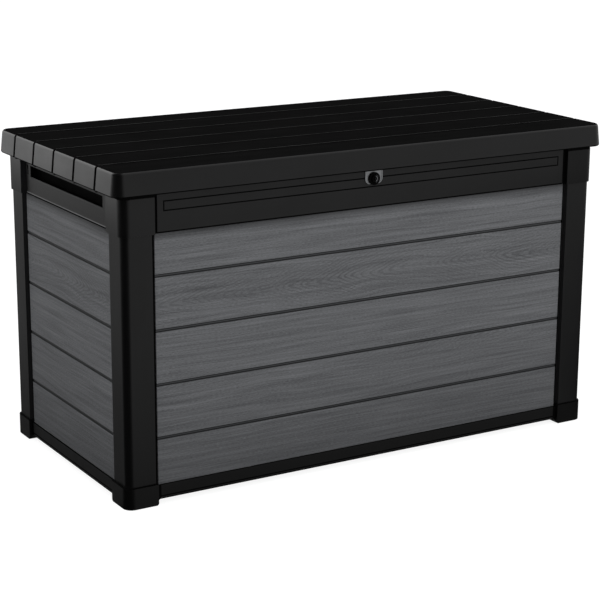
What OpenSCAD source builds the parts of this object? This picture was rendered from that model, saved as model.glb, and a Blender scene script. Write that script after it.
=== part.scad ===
// Deck storage box: hinged slatted lid on a panelled case with corner posts.
// +X runs along the front, -Y faces the front, +Z is up.
// The origin is on the ground, under the middle of the lid.

/* [Case] */
// Width over the corner posts
case_w = 1396; // [1100:1:1700]
// Depth over the corner posts
case_d = 686; // [560:1:800]
// Height of the rim that the lid rests on
rim_z = 806; // [700:1:900]
// Width of each post face
post_face = 77; // [60:1:110]
// Thickness of the post section, outer face to inner face
post_depth = 18; // [18:0.5:26]
// Radius of the post's outer edge
post_r = 24; // [12:1:28]
// Wall thickness of the moulded frame pieces
frame_wall = 4; // [3:0.5:5]

/* [Corner caps and feet] */
// How far the corner caps stand proud of the posts
cap_proud = 4.5; // [2:0.5:8]
// How far a corner cap reaches up behind the lid's edge
cap_under_lid = 5; // [2:0.5:8]
// How much further in than the post a cap reaches
cap_reach = 6; // [2:0.5:10]
// Height of a corner foot
foot_h = 55; // [52:1:70]
// How far the feet stand proud of the posts
foot_proud = 5; // [2:0.5:8]
// Radius of the rounded corner between a foot and the base rail
toe_r = 7; // [3:0.5:12]

/* [Walls] */
// Recess of the planks behind the post faces
plank_recess = 8; // [5:0.5:9]
// Thickness of a wall panel
plank_t = 4.5; // [3:0.5:6]
// Number of planks in a wall
plank_count = 5; // [3:1:8]
// Height of the top plank that the rail hides
plank_high_hidden = 32; // [10:1:60]
// Height of the lowest plank that the base rail hides
plank_low_hidden = 17.5; // [5:0.5:40]
// Height of the groove between planks
groove_h = 6.5; // [3:0.5:10]
// Depth of the groove between planks
groove_depth = 2.2; // [1:0.1:3]
// Dark gap between a post and the end of the planks
plank_gap = 9.5; // [6:0.5:12]
// Thickness of the hidden tongues that join the walls
tongue_t = 3; // [2:0.5:3]
// Length of a hidden tongue inside its slot
tongue_len = 20; // [10:1:28]

/* [Rails] */
// Height of the top rails, up to the rim
rail_h = 128; // [110:1:180]
// Recess of the front and rear top rails behind the post faces
rail_recess = 4; // [2:0.5:6]
// Recess of the side top rails behind the post faces
side_rail_recess = 7; // [5:0.5:8]
// Gap between the end of a rail and its corner cap
rail_gap = 9.5; // [2:0.5:12]
// Height of the inner lip under the rim
lip_h = 26; // [12:1:40]
// Distance from a side handle slot to the ends of its rail
handle_inset = 29.5; // [26:0.5:180]
// Height of a side handle slot
handle_h = 27; // [20:1:32]
// Drop of the middle of the handle slots below the rim
handle_drop = 63.5; // [50:0.5:80]
// Distance from the framed line to the ends of the front rail
frame_line_inset = 16.5; // [10:0.5:200]
// Height of the framed line on the front rail
frame_line_h = 23; // [12:1:40]
// Drop of the middle of the framed line below the rim
frame_line_drop = 65; // [60:0.5:75]
// Height of the lower edge of the base rails
base_z = 13; // [8:1:20]
// Height of the upper edge of the base rails
base_top = 50; // [44:1:52]
// Recess of the base rails behind the post faces
base_recess = 3; // [1:0.5:5]
// Height of the top of the floor
floor_z = 33.5; // [30:0.5:36]
// Thickness of the floor
floor_t = 3.5; // [2.5:0.5:5]

/* [Lid] */
// How far the lid reaches past the side posts
lid_over_x = 26; // [23:0.5:50]
// How far the lid reaches past the front and rear posts
lid_over_y = 18.5; // [18:0.5:30]
// Height of the lid's skirt and top together
lid_h = 60; // [50:1:64]
// Height of the lid's top above the rim
lid_rise = 30; // [28:1:40]
// How much the lid narrows on each side towards its top
lid_draft = 6; // [2:0.5:8]
// Radius of the lid's corners
lid_r = 32; // [22:1:40]
// Radius of the lid's top edge
lid_edge_r = 8; // [3:1:10]
// Wall thickness of the lid
lid_wall = 4; // [3:0.5:5]
// Number of slats on the lid
slat_count = 6; // [4:1:8]
// Width of the front and the rear slat
edge_slat = 113.5; // [60:0.5:160]
// Width of a slat groove
slat_groove_w = 8.5; // [4:0.5:12]
// Depth of a slat groove
slat_groove_depth = 2.4; // [1:0.1:3]
// Thickness of the inner lid panel
liner_t = 3; // [2:0.5:4]
// Gap between the inner lid panel and the rim when closed
liner_gap = 0.5; // [0.3:0.1:2]
// Number of ribs between the inner lid panel and the top
rib_count = 7; // [3:1:11]
// Side of the square steel bars in the lid
bar_size = 20; // [12:1:20]
// Distance from the steel bars to the ends of the lid
bar_inset = 64; // [30:1:200]

/* [Hinges] */
// Drop of the hinge axis below the rim
hinge_drop = 38; // [38:0.5:50]
// Distance of the hinge axis behind the rear posts
hinge_behind = 7; // [6.5:0.5:8]
// Outer radius of a hinge knuckle
knuckle_r = 6; // [5:0.5:6]
// Radius of a hinge pin
pin_r = 3; // [2:0.25:3.5]
// Width of a hinge
hinge_w = 90; // [60:1:140]
// Distance from the outer hinges to the corner posts
hinge_inset = 101; // [60:1:300]
// Thickness of the hinge leaves and steel brackets
leaf_t = 3; // [2:0.5:3]

/* [Gas struts] */
// Distance from the hinge axis to each strut pivot
strut_arm = 260; // [220:1:280]
// Angle at the hinge axis between the two strut pivots
strut_angle = 67; // [60:1:75]
// Depth of the lid's strut pivot below the inner lid panel
hanger_drop = 14.5; // [12:0.5:20]
// Distance of the struts from the inner face of the side posts
strut_inset = 20; // [14:1:40]
// Outer radius of the strut cylinder
strut_r = 9; // [7:0.5:11]
// Radius of the strut rod
strut_rod_r = 4; // [3:0.5:5]
// Radius of the strut pivots
stud_r = 4; // [3:0.5:5]

/* [Lock] */
// Drop of the lock's axis below the rim
lock_drop = 53.5; // [50:0.5:58]
// Radius of the round lock face
lock_r = 16.5; // [12:0.5:20]
// Radius of the key barrel
barrel_r = 8; // [5:0.5:9]
// Length of the lock's cam from its axis
cam_len = 26; // [20:1:34]
// Width of the lock's cam
cam_w = 14; // [10:1:16]
// Width of the grey plate behind the lock
lock_plate_w = 56; // [42:1:80]

/* [Hidden] */

// Clearances
running_fit = 0.05;   // radial, for pins and studs that turn
slip_fit = 0.1;       // around hidden tongues and screws
slide_fit = 0.3;      // radial, for the strut rod and its piston
side_gap = 0.3;       // between faces that move past each other
flange_gap = 3;       // between the lid's inner flange and the corner caps
cam_gap = 0.5;        // between the lock's cam and the strike
tiny = 1;             // overrun of a cutting tool

// Inner panel of the lid
liner_past = 10;      // how far it reaches past the side posts
flange_ahead = 2;     // how far its rear flange stands ahead of the hinge axis
liner_r = 22;
bar_setback = 211.5;  // from the front and rear of the lid to its steel bars

// Half sizes of the case
hx = case_w / 2;
hy = case_d / 2;
// Inner faces of the posts
ix = hx - post_depth;
iy = hy - post_depth;
// Inner edges of the post faces
ex = hx - post_face;
ey = hy - post_face;

// Width of the ledges inside the walls that carry the floor
ledge_w = 12;

// Depths behind the post faces
plank_back = plank_recess + plank_t;
rail_back = rail_recess + frame_wall;
side_rail_back = side_rail_recess + frame_wall;

// Heights
rail_z = rim_z - rail_h;
lid_z = rim_z + lid_rise - lid_h;
lid_top = lid_z + lid_h;
cap_top = lid_z + cap_under_lid;
flange_z = cap_top + flange_gap;
liner_z = rim_z + liner_gap;
liner_top = liner_z + liner_t;
shell_under = lid_top - lid_wall;
handle_z = rim_z - handle_drop;
frame_line_z = rim_z - frame_line_drop;
hinge_z = rim_z - hinge_drop;
lock_z = rim_z - lock_drop;
floor_under = floor_z - floor_t;
plank_pitch = (rail_z + plank_high_hidden - base_top + plank_low_hidden) / plank_count;

// Outline of the lid, its slats and its bars
lid_w = case_w + 2 * lid_over_x;
lid_d = case_d + 2 * lid_over_y;
slat_pitch = (lid_d - 2 * edge_slat) / (slat_count - 2);
bar_len = lid_w - 2 * bar_inset;
bar_y = lid_d / 2 - bar_setback;

// Faces of the rear rail, of the side walls' inside and of the lid's inner panel
rail_face_y = hy - rail_recess;
wall_inner_x = hx - plank_back;
hinge_y = hy + hinge_behind;
liner_hx = hx + liner_past;
liner_hy = hinge_y - flange_ahead;
hinge_spread = ex - hinge_inset;
hinge_xs = [-hinge_spread, 0, hinge_spread];

// Screws
screw_r = 2;
screw_head_r = 3.8;
screw_head_h = 2;
liner_bite = 2.5;
wall_bite = 3.5;
bracket_screw_drops = [22, 50];
bracket_h = 62;

// Strut pivots: both lie at strut_arm from the hinge axis
strut_x = ix - strut_inset;
strut_high_z = liner_z - hanger_drop;
strut_lift = asin((strut_high_z - hinge_z) / strut_arm);
strut_high_y = hinge_y - strut_arm * cos(strut_lift);
strut_low_y = hinge_y - strut_arm * cos(strut_angle - strut_lift);
strut_low_z = hinge_z - strut_arm * sin(strut_angle - strut_lift);
strut_len = 2 * strut_arm * sin(strut_angle / 2);
stud_head_r = stud_r + 2;
eye_r = stud_r + 4;
eye_w = 10;
eye_head_t = 3;
eye_relief = 1;
tube_clear_top = 12;
tube_clear_low = 25;
tube_base = 4;
tube_wall = 1.5;
guide_len = 8;
piston_gap = 5;
hanger_leg = 11;
hanger_pad = 18;
hanger_screw_in = 13;
hanger_screw_y = 14;
plate_screw_z = 17;
plate_margin = 7;

// Lock, measured from the front rail's face
plate_t = 2;
housing_r = barrel_r + 3;
housing_len = 21;
barrel_back = housing_len + 4;
cam_screw_r = 3;
cam_screw_len = 10;
strike_x = 12;
strike_w = 32;
strike_behind = 3;
strike_flange = 30;
strike_screw_in = 6;
strike_screw_back = 18;
strike_y = -rail_face_y + barrel_back + leaf_t + strike_behind;

// A rounded rectangle in plan, centred on the origin
module rounded_plan(w, d, r) {
    square([w, d - 2 * r], center = true);
    square([w - 2 * r, d], center = true);
    for (sx = [-1, 1], sy = [-1, 1])
        translate([sx * (w / 2 - r), sy * (d / 2 - r)]) circle(r = r, $fn = 64);
}

// L-shaped corner section in the +X +Y quarter. Outer faces at ox and oy,
// inner faces at nx and ny, leg ends at lx and ly.
module corner_section(ox, oy, nx, ny, lx, ly, r) {
    difference() {
        union() {
            translate([lx, ly]) square([ox - r - lx, oy - ly]);
            translate([lx, ly]) square([ox - lx, oy - r - ly]);
            translate([ox - r, oy - r]) circle(r = r, $fn = 64);
        }
        translate([lx - tiny, ly - tiny]) square([nx - lx + tiny, ny - ly + tiny]);
    }
}

// Slots in both legs of a corner section, for the tongues whose outer faces lie
// back_x behind the side posts and back_y behind the front or rear posts
module tongue_slots(back_x, back_y, lx, ly) {
    translate([lx - tiny, hy - back_y - tongue_t - slip_fit])
        square([tongue_len + slip_fit + tiny, tongue_t + 2 * slip_fit]);
    translate([hx - back_x - tongue_t - slip_fit, ly - tiny])
        square([tongue_t + 2 * slip_fit, tongue_len + slip_fit + tiny]);
}

// Places a +X +Y quarter piece at the corner with signs sx and sy
module at_corner(sx, sy) {
    mirror([sx < 0 ? 1 : 0, 0, 0]) mirror([0, sy < 0 ? 1 : 0, 0]) children();
}

// Hollow inside a corner section
module corner_hollow(ox, oy, lx, ly, r) {
    solid_end = tongue_len + slip_fit + frame_wall;
    corner_section(ox - frame_wall, oy - frame_wall, ix + frame_wall, iy + frame_wall,
                   lx + solid_end, ly + solid_end, r - frame_wall);
}

module corner_post(sx, sy) {
    color("#1d1e1f") at_corner(sx, sy)
        translate([0, 0, foot_h])
            linear_extrude(rail_z - foot_h)
                difference() {
                    corner_section(hx, hy, ix, iy, ex, ey, post_r);
                    corner_hollow(hx, hy, ex, ey, post_r);
                    tongue_slots(plank_back, plank_back, ex, ey);
                }
}

module corner_cap(sx, sy) {
    cx = ex - cap_reach;
    cy = ey - cap_reach;
    color("#1d1e1f") at_corner(sx, sy) difference() {
        union() {
            translate([0, 0, rail_z])
                linear_extrude(cap_top - rail_z)
                    corner_section(hx + cap_proud, hy + cap_proud, ix, iy, cx, cy, post_r + cap_proud / 2);
            translate([0, 0, cap_top])
                linear_extrude(rim_z - cap_top)
                    corner_section(hx - rail_recess, hy - rail_recess, ix, iy, cx, cy,
                                   post_r - rail_recess / 2);
        }
        translate([0, 0, rail_z - tiny])
            linear_extrude(rim_z - frame_wall - rail_z + tiny)
                corner_hollow(hx - rail_recess, hy - rail_recess, cx, cy, post_r);
        translate([0, 0, rail_z + frame_wall])
            linear_extrude(rim_z - frame_wall - rail_z - frame_wall)
                tongue_slots(side_rail_back, rail_back, cx, cy);
    }
}

module corner_foot(sx, sy) {
    fx = hx + foot_proud;
    fy = hy + foot_proud;
    lx = ex - foot_proud;
    ly = ey - foot_proud;
    toe_depth = post_depth - base_recess;
    color("#17181a") at_corner(sx, sy) difference() {
        union() {
            linear_extrude(foot_h) corner_section(fx, fy, ix, iy, lx, ly, post_r);
            translate([lx, ly, 0]) cube([ix + tiny - lx, iy + tiny - ly, floor_under]);
            translate([lx, iy + toe_depth, base_z]) rotate([90, 0, 0])
                linear_extrude(toe_depth) toe_outline();
            translate([ix, ly, base_z]) rotate([90, 0, 90]) linear_extrude(toe_depth) toe_outline();
        }
        translate([0, 0, -tiny])
            linear_extrude(foot_h - frame_wall + tiny)
                corner_section(fx - frame_wall, fy - frame_wall, ix + frame_wall, iy + frame_wall,
                               lx + frame_wall, ly + frame_wall, post_r - frame_wall);
        translate([lx + frame_wall, ly + frame_wall, -tiny])
            cube([ix + tiny - lx, iy + tiny - ly, floor_under - frame_wall + tiny]);
    }
}

// Side view of the hollow corner between a foot and the base rail above it
module toe_outline() {
    difference() {
        translate([-toe_r, -toe_r]) square([toe_r + tiny, toe_r]);
        translate([-toe_r, -toe_r]) circle(r = toe_r, $fn = 64);
    }
}

// A wall between two posts, standing on the base rail: its visible face is at
// y = 0 and it faces -Y. half is half the distance between the post edges.
module wall_panel(half) {
    visible = half - plank_gap;
    strip = tongue_len / 2 + plank_gap - foot_proud;
    difference() {
        translate([-visible, 0, base_top]) cube([2 * visible, plank_t, rail_z - base_top]);
        for (i = [1 : plank_count - 1])
            translate([-visible - tiny, -tiny, rail_z + plank_high_hidden - i * plank_pitch - groove_h / 2])
                cube([2 * (visible + tiny), groove_depth + tiny, groove_h]);
    }
    for (s = [-1, 1]) {
        translate([s > 0 ? visible - tongue_len / 2 : -half - tongue_len, plank_t, foot_h])
            cube([tongue_len * 1.5 + plank_gap, tongue_t, rail_z - foot_h]);
        translate([s > 0 ? visible - tongue_len / 2 : foot_proud - half, plank_t, base_top])
            cube([strip, tongue_t, foot_h - base_top + tiny]);
    }
    translate([-visible, plank_t, rail_z - tongue_len])
        cube([2 * visible, tongue_t, 2 * tongue_len]);
}

module panel_long(side) {
    color("#55585b") rotate([0, 0, side < 0 ? 0 : 180])
        translate([0, -hy + plank_recess, 0]) wall_panel(ex);
}

module panel_short(side) {
    color("#55585b") difference() {
        rotate([0, 0, side < 0 ? -90 : 90])
            translate([0, -hx + plank_recess, 0]) wall_panel(ey);
        bracket_plate_screws(side) screw_hole(leaf_t + wall_bite);
    }
}

// A top rail between two caps: its face is at y = 0, recess behind the posts,
// and it faces -Y. half is half the distance between the cap edges.
module top_rail(half, recess) {
    end = half - rail_gap;
    inner = post_depth - recess;
    tongue_low = rail_z + tongue_len + frame_wall;
    translate([-end, 0, rail_z]) cube([2 * end, frame_wall, rim_z - rail_z]);
    translate([-half, 0, rim_z - frame_wall]) cube([2 * half, inner, frame_wall]);
    translate([-half, inner - tongue_t, rim_z - lip_h]) cube([2 * half, tongue_t, lip_h]);
    translate([-end, frame_wall / 2, rail_z])
        cube([2 * end, plank_back - recess - frame_wall / 2, frame_wall]);
    for (s = [-1, 1])
        translate([s > 0 ? end - tongue_len / 2 : -half - tongue_len, frame_wall, tongue_low])
            cube([tongue_len * 1.5 + rail_gap, tongue_t, rim_z - 2 * frame_wall - tongue_low]);
}

module rail_front() {
    line_w = 2;
    line_depth = 1.2;
    frame_line_w = 2 * (ex - cap_reach - rail_gap - frame_line_inset);
    color("#1d1e1f") translate([0, -hy + rail_recess, 0]) difference() {
        top_rail(ex - cap_reach, rail_recess);
        translate([0, 0, frame_line_z]) rotate([90, 0, 0])
            translate([0, 0, -line_depth]) linear_extrude(line_depth + tiny) difference() {
                square([frame_line_w, frame_line_h], center = true);
                square([frame_line_w - 2 * line_w, frame_line_h - 2 * line_w], center = true);
            }
        translate([0, -tiny, lock_z]) rotate([-90, 0, 0])
            cylinder(r = housing_r + slip_fit, h = frame_wall + 2 * tiny, $fn = 64);
    }
}

module rail_rear() {
    color("#1d1e1f") difference() {
        rotate([0, 0, 180]) translate([0, -hy + rail_recess, 0]) top_rail(ex - cap_reach, rail_recess);
        each_hinge() bracket_screw_places() screw_hole(leaf_t + frame_wall + tiny);
    }
}

module rail_side(side) {
    slit_w = 3;
    slit_off = 17;
    slit_short = 4;
    handle_len = 2 * (ey - cap_reach - rail_gap - handle_inset);
    color("#1d1e1f") rotate([0, 0, side < 0 ? -90 : 90]) translate([0, -hx + side_rail_recess, 0])
        difference() {
            top_rail(ey - cap_reach, side_rail_recess);
            translate([-handle_len / 2, -tiny, handle_z - handle_h / 2])
                cube([handle_len, frame_wall + 2 * tiny, handle_h]);
            for (s = [-1, 1])
                translate([s * (handle_len / 2 + slit_off) - slit_w / 2, -tiny,
                           handle_z - handle_h / 2 + slit_short])
                    cube([slit_w, frame_wall + 2 * tiny, handle_h - slit_short]);
        }
}

// A base rail between two feet: its face is at y = 0 and it faces -Y
module base_rail(half) {
    inner = post_depth - base_recess;
    ledge = inner + ledge_w;
    translate([-half, 0, base_z]) cube([2 * half, frame_wall, base_top - base_z]);
    translate([-half, 0, base_top - frame_wall]) cube([2 * half, inner, frame_wall]);
    translate([-half, 0, base_z]) cube([2 * half, inner - frame_wall, frame_wall]);
    translate([-half, frame_wall / 2, floor_under - frame_wall])
        cube([2 * half, ledge - frame_wall / 2, frame_wall]);
}

module base_rail_long(side) {
    color("#17181a") rotate([0, 0, side < 0 ? 0 : 180])
        translate([0, -hy + base_recess, 0]) base_rail(ex - foot_proud);
}

module base_rail_short(side) {
    color("#17181a") rotate([0, 0, side < 0 ? -90 : 90])
        translate([0, -hx + base_recess, 0]) base_rail(ey - foot_proud);
}

// Half of the floor, with ribs under it
module floor_half(side) {
    edge = 0.5;
    rib_t = 3;
    rib_h = 9;
    rib_end = post_depth + ledge_w + 2;
    length = ix - edge;
    ribs = 3;
    color("#1d1e1f") mirror([side < 0 ? 1 : 0, 0, 0]) {
        translate([0, -iy + edge, floor_under]) cube([length, 2 * (iy - edge), floor_t]);
        for (i = [1 : ribs])
            translate([i * length / (ribs + 1), -hy + rib_end, floor_under - rib_h])
                cube([rib_t, 2 * (hy - rib_end), rib_h]);
    }
}

// Beam under the joint between the floor halves, carried by the base rails
module floor_beam() {
    beam_w = 40;
    ledge_in = post_depth + ledge_w;
    beam_z = base_z + frame_wall;
    color("#1d1e1f") translate([-beam_w / 2, 0, beam_z]) {
        translate([0, -hy + ledge_in + side_gap, 0])
            cube([beam_w, 2 * (hy - ledge_in - side_gap), floor_under - beam_z]);
        translate([0, -hy + base_recess + frame_wall + side_gap, 0])
            cube([beam_w, 2 * (hy - base_recess - frame_wall - side_gap),
                  floor_under - frame_wall - beam_z]);
    }
}

// Solid with the lid's outline, moved in by inset on every face and sunk
// below the lid's edge by drop
module lid_block(inset, drop) {
    half_x = lid_w / 2 - lid_r;
    half_y = lid_d / 2 - lid_r;
    low_r = lid_r - inset;
    high_r = low_r - lid_draft;
    edge = max(lid_edge_r - inset, 1);
    top = lid_h - inset;
    steps = 4;
    hull() for (sx = [-1, 1], sy = [-1, 1])
        translate([sx * half_x, sy * half_y, lid_z])
            rotate_extrude($fn = 48)
                polygon(concat([[0, -drop], [low_r, -drop], [low_r, 0]],
                    [for (i = [0 : steps])
                        [high_r - edge + edge * cos(i * 90 / steps),
                         top - edge + edge * sin(i * 90 / steps)]],
                    [[0, top]]));
}

module lid_shell() {
    color("#141516") difference() {
        lid_block(0, 0);
        lid_block(lid_wall, tiny);
        difference() {
            for (i = [1 : slat_count - 1])
                translate([-lid_w, (i - slat_count / 2) * slat_pitch - slat_groove_w / 2, lid_z - tiny])
                    cube([2 * lid_w, slat_groove_w, lid_h + 2 * tiny]);
            lid_block(slat_groove_depth, 2 * tiny);
        }
    }
}

// Inner panel of the lid: a tray that caps the rim, with ribs up to the top
module lid_liner() {
    rib_setback = 8;
    rib_len = 2 * (iy - rib_setback);
    notch = bar_size + 2 * side_gap;
    color("#1a1b1c") difference() {
        union() {
            translate([0, 0, liner_z]) linear_extrude(liner_t)
                rounded_plan(2 * liner_hx, 2 * liner_hy, liner_r);
            translate([0, 0, flange_z]) linear_extrude(liner_z - flange_z) difference() {
                rounded_plan(2 * liner_hx, 2 * liner_hy, liner_r);
                rounded_plan(2 * (liner_hx - liner_t), 2 * (liner_hy - liner_t), liner_r - liner_t);
            }
            for (i = [0 : rib_count - 1])
                translate([(i - (rib_count - 1) / 2) * bar_len / rib_count - liner_t / 2,
                           -rib_len / 2, liner_top])
                    cube([liner_t, rib_len, shell_under - liner_top]);
        }
        for (s = [-1, 1])
            translate([-lid_w / 2, s * bar_y - notch / 2, liner_top]) cube([lid_w, notch, lid_h]);
        each_hinge() leaf_screw_places() screw_hole(3 * leaf_t);
        for (side = [-1, 1]) hanger_screw_places(side) screw_hole(leaf_t + liner_bite);
        strike_screw_places() screw_hole(leaf_t + liner_bite);
    }
}

// Square steel tube that stiffens the lid
module lid_bar(side) {
    bar_wall = 1.5;
    color("#8b8f93") translate([0, side * bar_y, liner_top + bar_size / 2]) difference() {
        cube([bar_len, bar_size, bar_size], center = true);
        cube([bar_len + tiny, bar_size - 2 * bar_wall, bar_size - 2 * bar_wall], center = true);
    }
}

// A pan-head screw along -Z whose head sits on z = 0
module screw(length) {
    cylinder(r = screw_head_r, h = screw_head_h, $fn = 32);
    translate([0, 0, -length]) cylinder(r = screw_r, h = length + tiny / 2, $fn = 32);
}

module screw_hole(length) {
    translate([0, 0, -length - slip_fit])
        cylinder(r = screw_r + slip_fit, h = length + slip_fit + tiny, $fn = 32);
}

module each_hinge() {
    for (x = hinge_xs) translate([x, 0, 0]) children();
}

// Seats of the screws that hold a hinge to the rear rail
module bracket_screw_places() {
    for (sx = [-1, 1], drop = bracket_screw_drops)
        translate([sx * hinge_w / 3, rail_face_y + leaf_t, hinge_z - drop]) rotate([-90, 0, 0]) children();
}

// Seats of the screws that hold a hinge to the lid
module leaf_screw_places() {
    for (sx = [-1, 1])
        translate([sx * hinge_w / 3, liner_hy + leaf_t, (flange_z + liner_z) / 2])
            rotate([-90, 0, 0]) children();
}

// A round bar along X, centred on x
module bar_x(r, length) {
    rotate([0, 90, 0]) cylinder(r = r, h = length, center = true, $fn = 64);
}

// The hinge half that is screwed to the rear rail
module hinge_bracket(x) {
    knuckle_w = hinge_w / 3 - side_gap / 2;
    bracket_low = hinge_z - bracket_h;
    color("#2a2b2d") translate([x, 0, 0]) difference() {
        union() {
            translate([-hinge_w / 2, rail_face_y, bracket_low])
                cube([hinge_w, leaf_t, hinge_z + leaf_t - bracket_low]);
            for (s = [-1, 1]) translate([s * (hinge_w - knuckle_w) / 2, 0, 0]) {
                translate([-knuckle_w / 2, rail_face_y, hinge_z - leaf_t])
                    cube([knuckle_w, hinge_y - rail_face_y, 2 * leaf_t]);
                translate([0, hinge_y, hinge_z]) bar_x(knuckle_r, knuckle_w);
            }
        }
        translate([0, hinge_y, hinge_z]) bar_x(pin_r + running_fit, hinge_w + 2 * tiny);
        bracket_screw_places() screw_hole(leaf_t);
    }
}

// The hinge half that is screwed to the lid
module hinge_leaf(x) {
    knuckle_w = hinge_w / 3 - side_gap;
    plate_low = flange_z + 1;
    color("#2a2b2d") translate([x, 0, 0]) difference() {
        union() {
            translate([-hinge_w / 2, liner_hy, plate_low])
                cube([hinge_w, leaf_t, liner_z - plate_low]);
            translate([-knuckle_w / 2, liner_hy, hinge_z]) cube([knuckle_w, leaf_t, plate_low - hinge_z + tiny]);
            translate([0, hinge_y, hinge_z]) bar_x(knuckle_r, knuckle_w);
        }
        translate([0, hinge_y, hinge_z]) bar_x(pin_r + running_fit, hinge_w + 2 * tiny);
        leaf_screw_places() screw_hole(leaf_t);
    }
}

module hinge_pins() {
    head_t = 2;
    color("#b9bcc0") each_hinge() translate([0, hinge_y, hinge_z]) {
        bar_x(pin_r, hinge_w + head_t);
        for (s = [-1, 1])
            translate([s * (hinge_w + head_t) / 2, 0, 0]) bar_x(pin_r + 1.5, head_t);
    }
}

module hinge_screws_case() {
    color("#b9bcc0") each_hinge() bracket_screw_places() screw(leaf_t + frame_wall + 2);
}

module hinge_screws_lid() {
    color("#b9bcc0") each_hinge() leaf_screw_places() screw(leaf_t + liner_t + 1);
}

// Origin at the lower strut pivot, +Z up the strut
module strut_frame(side) {
    translate([side * strut_x, strut_low_y, strut_low_z])
        rotate([atan2(strut_low_y - strut_high_y, strut_high_z - strut_low_z), 0, 0]) children();
}

// A stud along X that carries a strut eye, from the plate to its head
module strut_stud(plate_gap) {
    inner = eye_w / 2 + side_gap;
    translate([-inner - eye_head_t / 2, 0, 0]) bar_x(stud_head_r, eye_head_t);
    translate([(plate_gap - inner) / 2, 0, 0]) bar_x(stud_r, plate_gap + inner + tiny / 2);
    translate([(plate_gap + inner) / 2, 0, 0]) bar_x(stud_head_r, plate_gap - inner);
}

// Bracket on the inside of a side wall for the lower end of a strut
module strut_bracket(side) {
    plate_half = plate_screw_z + plate_margin;
    plate_gap = wall_inner_x - leaf_t - strut_x;
    color("#2a2b2d") mirror([side < 0 ? 1 : 0, 0, 0]) difference() {
        union() {
            translate([wall_inner_x - leaf_t, strut_low_y - plate_half / 2, strut_low_z - plate_half])
                cube([leaf_t, plate_half, 2 * plate_half]);
            translate([strut_x, strut_low_y, strut_low_z]) strut_stud(plate_gap);
        }
        bracket_plate_screws(1) screw_hole(leaf_t);
    }
}

// Seats of the screws of a strut bracket
module bracket_plate_screws(side) {
    for (sz = [-1, 1])
        translate([side * (wall_inner_x - leaf_t), strut_low_y, strut_low_z + sz * plate_screw_z])
            rotate([0, side * -90, 0]) children();
}

// Hanger under the inner lid panel for the upper end of a strut
module strut_hanger(side) {
    leg_half = 8;
    pad_half = hanger_screw_y + 6;
    color("#2a2b2d") mirror([side < 0 ? 1 : 0, 0, 0]) difference() {
        union() {
            translate([strut_x - hanger_pad, strut_high_y - pad_half, liner_z - leaf_t])
                cube([hanger_pad + hanger_leg + leaf_t, 2 * pad_half, leaf_t]);
            translate([strut_x + hanger_leg, strut_high_y - leg_half, strut_high_z])
                cube([leaf_t, 2 * leg_half, liner_z - leaf_t - strut_high_z + tiny]);
            translate([strut_x + hanger_leg + leaf_t / 2, strut_high_y, strut_high_z])
                bar_x(leg_half, leaf_t);
            translate([strut_x, strut_high_y, strut_high_z]) strut_stud(hanger_leg);
        }
        hanger_screw_places(1) screw_hole(leaf_t);
    }
}

// Seats of the screws of a strut hanger, pointing up into the lid
module hanger_screw_places(side) {
    for (sy = [-1, 1])
        translate([side * (strut_x - hanger_screw_in), strut_high_y + sy * hanger_screw_y, liner_z - leaf_t])
            rotate([180, 0, 0]) children();
}

// Ring at the end of a strut, around a stud
module strut_eye() {
    difference() {
        bar_x(eye_r, eye_w);
        bar_x(stud_r + running_fit, eye_w + 2 * tiny);
    }
}

// Upper half of a strut: eye, plug, tube and the guide that the rod runs in
module strut_cylinder(side) {
    bore_r = strut_r - tube_wall;
    tube_end = strut_len - tube_clear_top;
    color("#1c1d1f") strut_frame(side) {
        translate([0, 0, strut_len]) strut_eye();
        translate([0, 0, tube_end])
            difference() {
                cylinder(r = strut_r - 2 * tube_wall, h = tube_clear_top - stud_r - eye_relief, $fn = 64);
                translate([0, 0, tube_clear_top]) bar_x(stud_head_r, 2 * eye_w);
            }
        difference() {
            translate([0, 0, tube_clear_low]) cylinder(r = strut_r, h = tube_end - tube_clear_low, $fn = 64);
            translate([0, 0, tube_clear_low - tiny])
                cylinder(r = strut_rod_r + slide_fit, h = guide_len + 2 * tiny, $fn = 64);
            translate([0, 0, tube_clear_low + guide_len])
                cylinder(r = bore_r, h = tube_end - tube_base - tube_clear_low - guide_len, $fn = 64);
        }
    }
}

// Lower half of a strut: eye, rod and piston
module strut_rod(side) {
    rod_len = strut_len - tube_clear_top - tube_base - piston_gap;
    rod_start = stud_r + eye_relief;
    piston_h = 9;
    color("#c9ccd0") strut_frame(side) {
        strut_eye();
        difference() {
            translate([0, 0, rod_start]) cylinder(r = strut_rod_r, h = rod_len - rod_start, $fn = 64);
            bar_x(stud_head_r, 2 * eye_w);
        }
        translate([0, 0, rod_len - piston_h])
            cylinder(r = strut_r - tube_wall - slide_fit, h = piston_h, $fn = 64);
    }
}

module strut_screws_case() {
    color("#b9bcc0") for (side = [-1, 1]) bracket_plate_screws(side) screw(leaf_t + wall_bite);
}

module strut_screws_lid() {
    color("#b9bcc0") for (side = [-1, 1]) hanger_screw_places(side) screw(leaf_t + liner_bite);
}

// Origin on the front rail's face at the lock's axis, +Z to the front
module lock_frame() {
    translate([0, -rail_face_y, lock_z]) rotate([90, 0, 0]) children();
}

module lock_plate() {
    border = 1.5;
    plate_hidden = 2;
    low = lock_r + border;
    high = lid_z + plate_hidden - lock_z;
    corner = 14;
    color("#8d9194") lock_frame() linear_extrude(plate_t) difference() {
        union() {
            translate([-lock_plate_w / 2, corner - low]) square([lock_plate_w, high + low - corner]);
            translate([corner - lock_plate_w / 2, -low]) square([lock_plate_w - 2 * corner, corner]);
            for (s = [-1, 1])
                translate([s * (lock_plate_w / 2 - corner), corner - low]) circle(r = corner, $fn = 64);
        }
        circle(r = housing_r + slip_fit, $fn = 64);
    }
}

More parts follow.
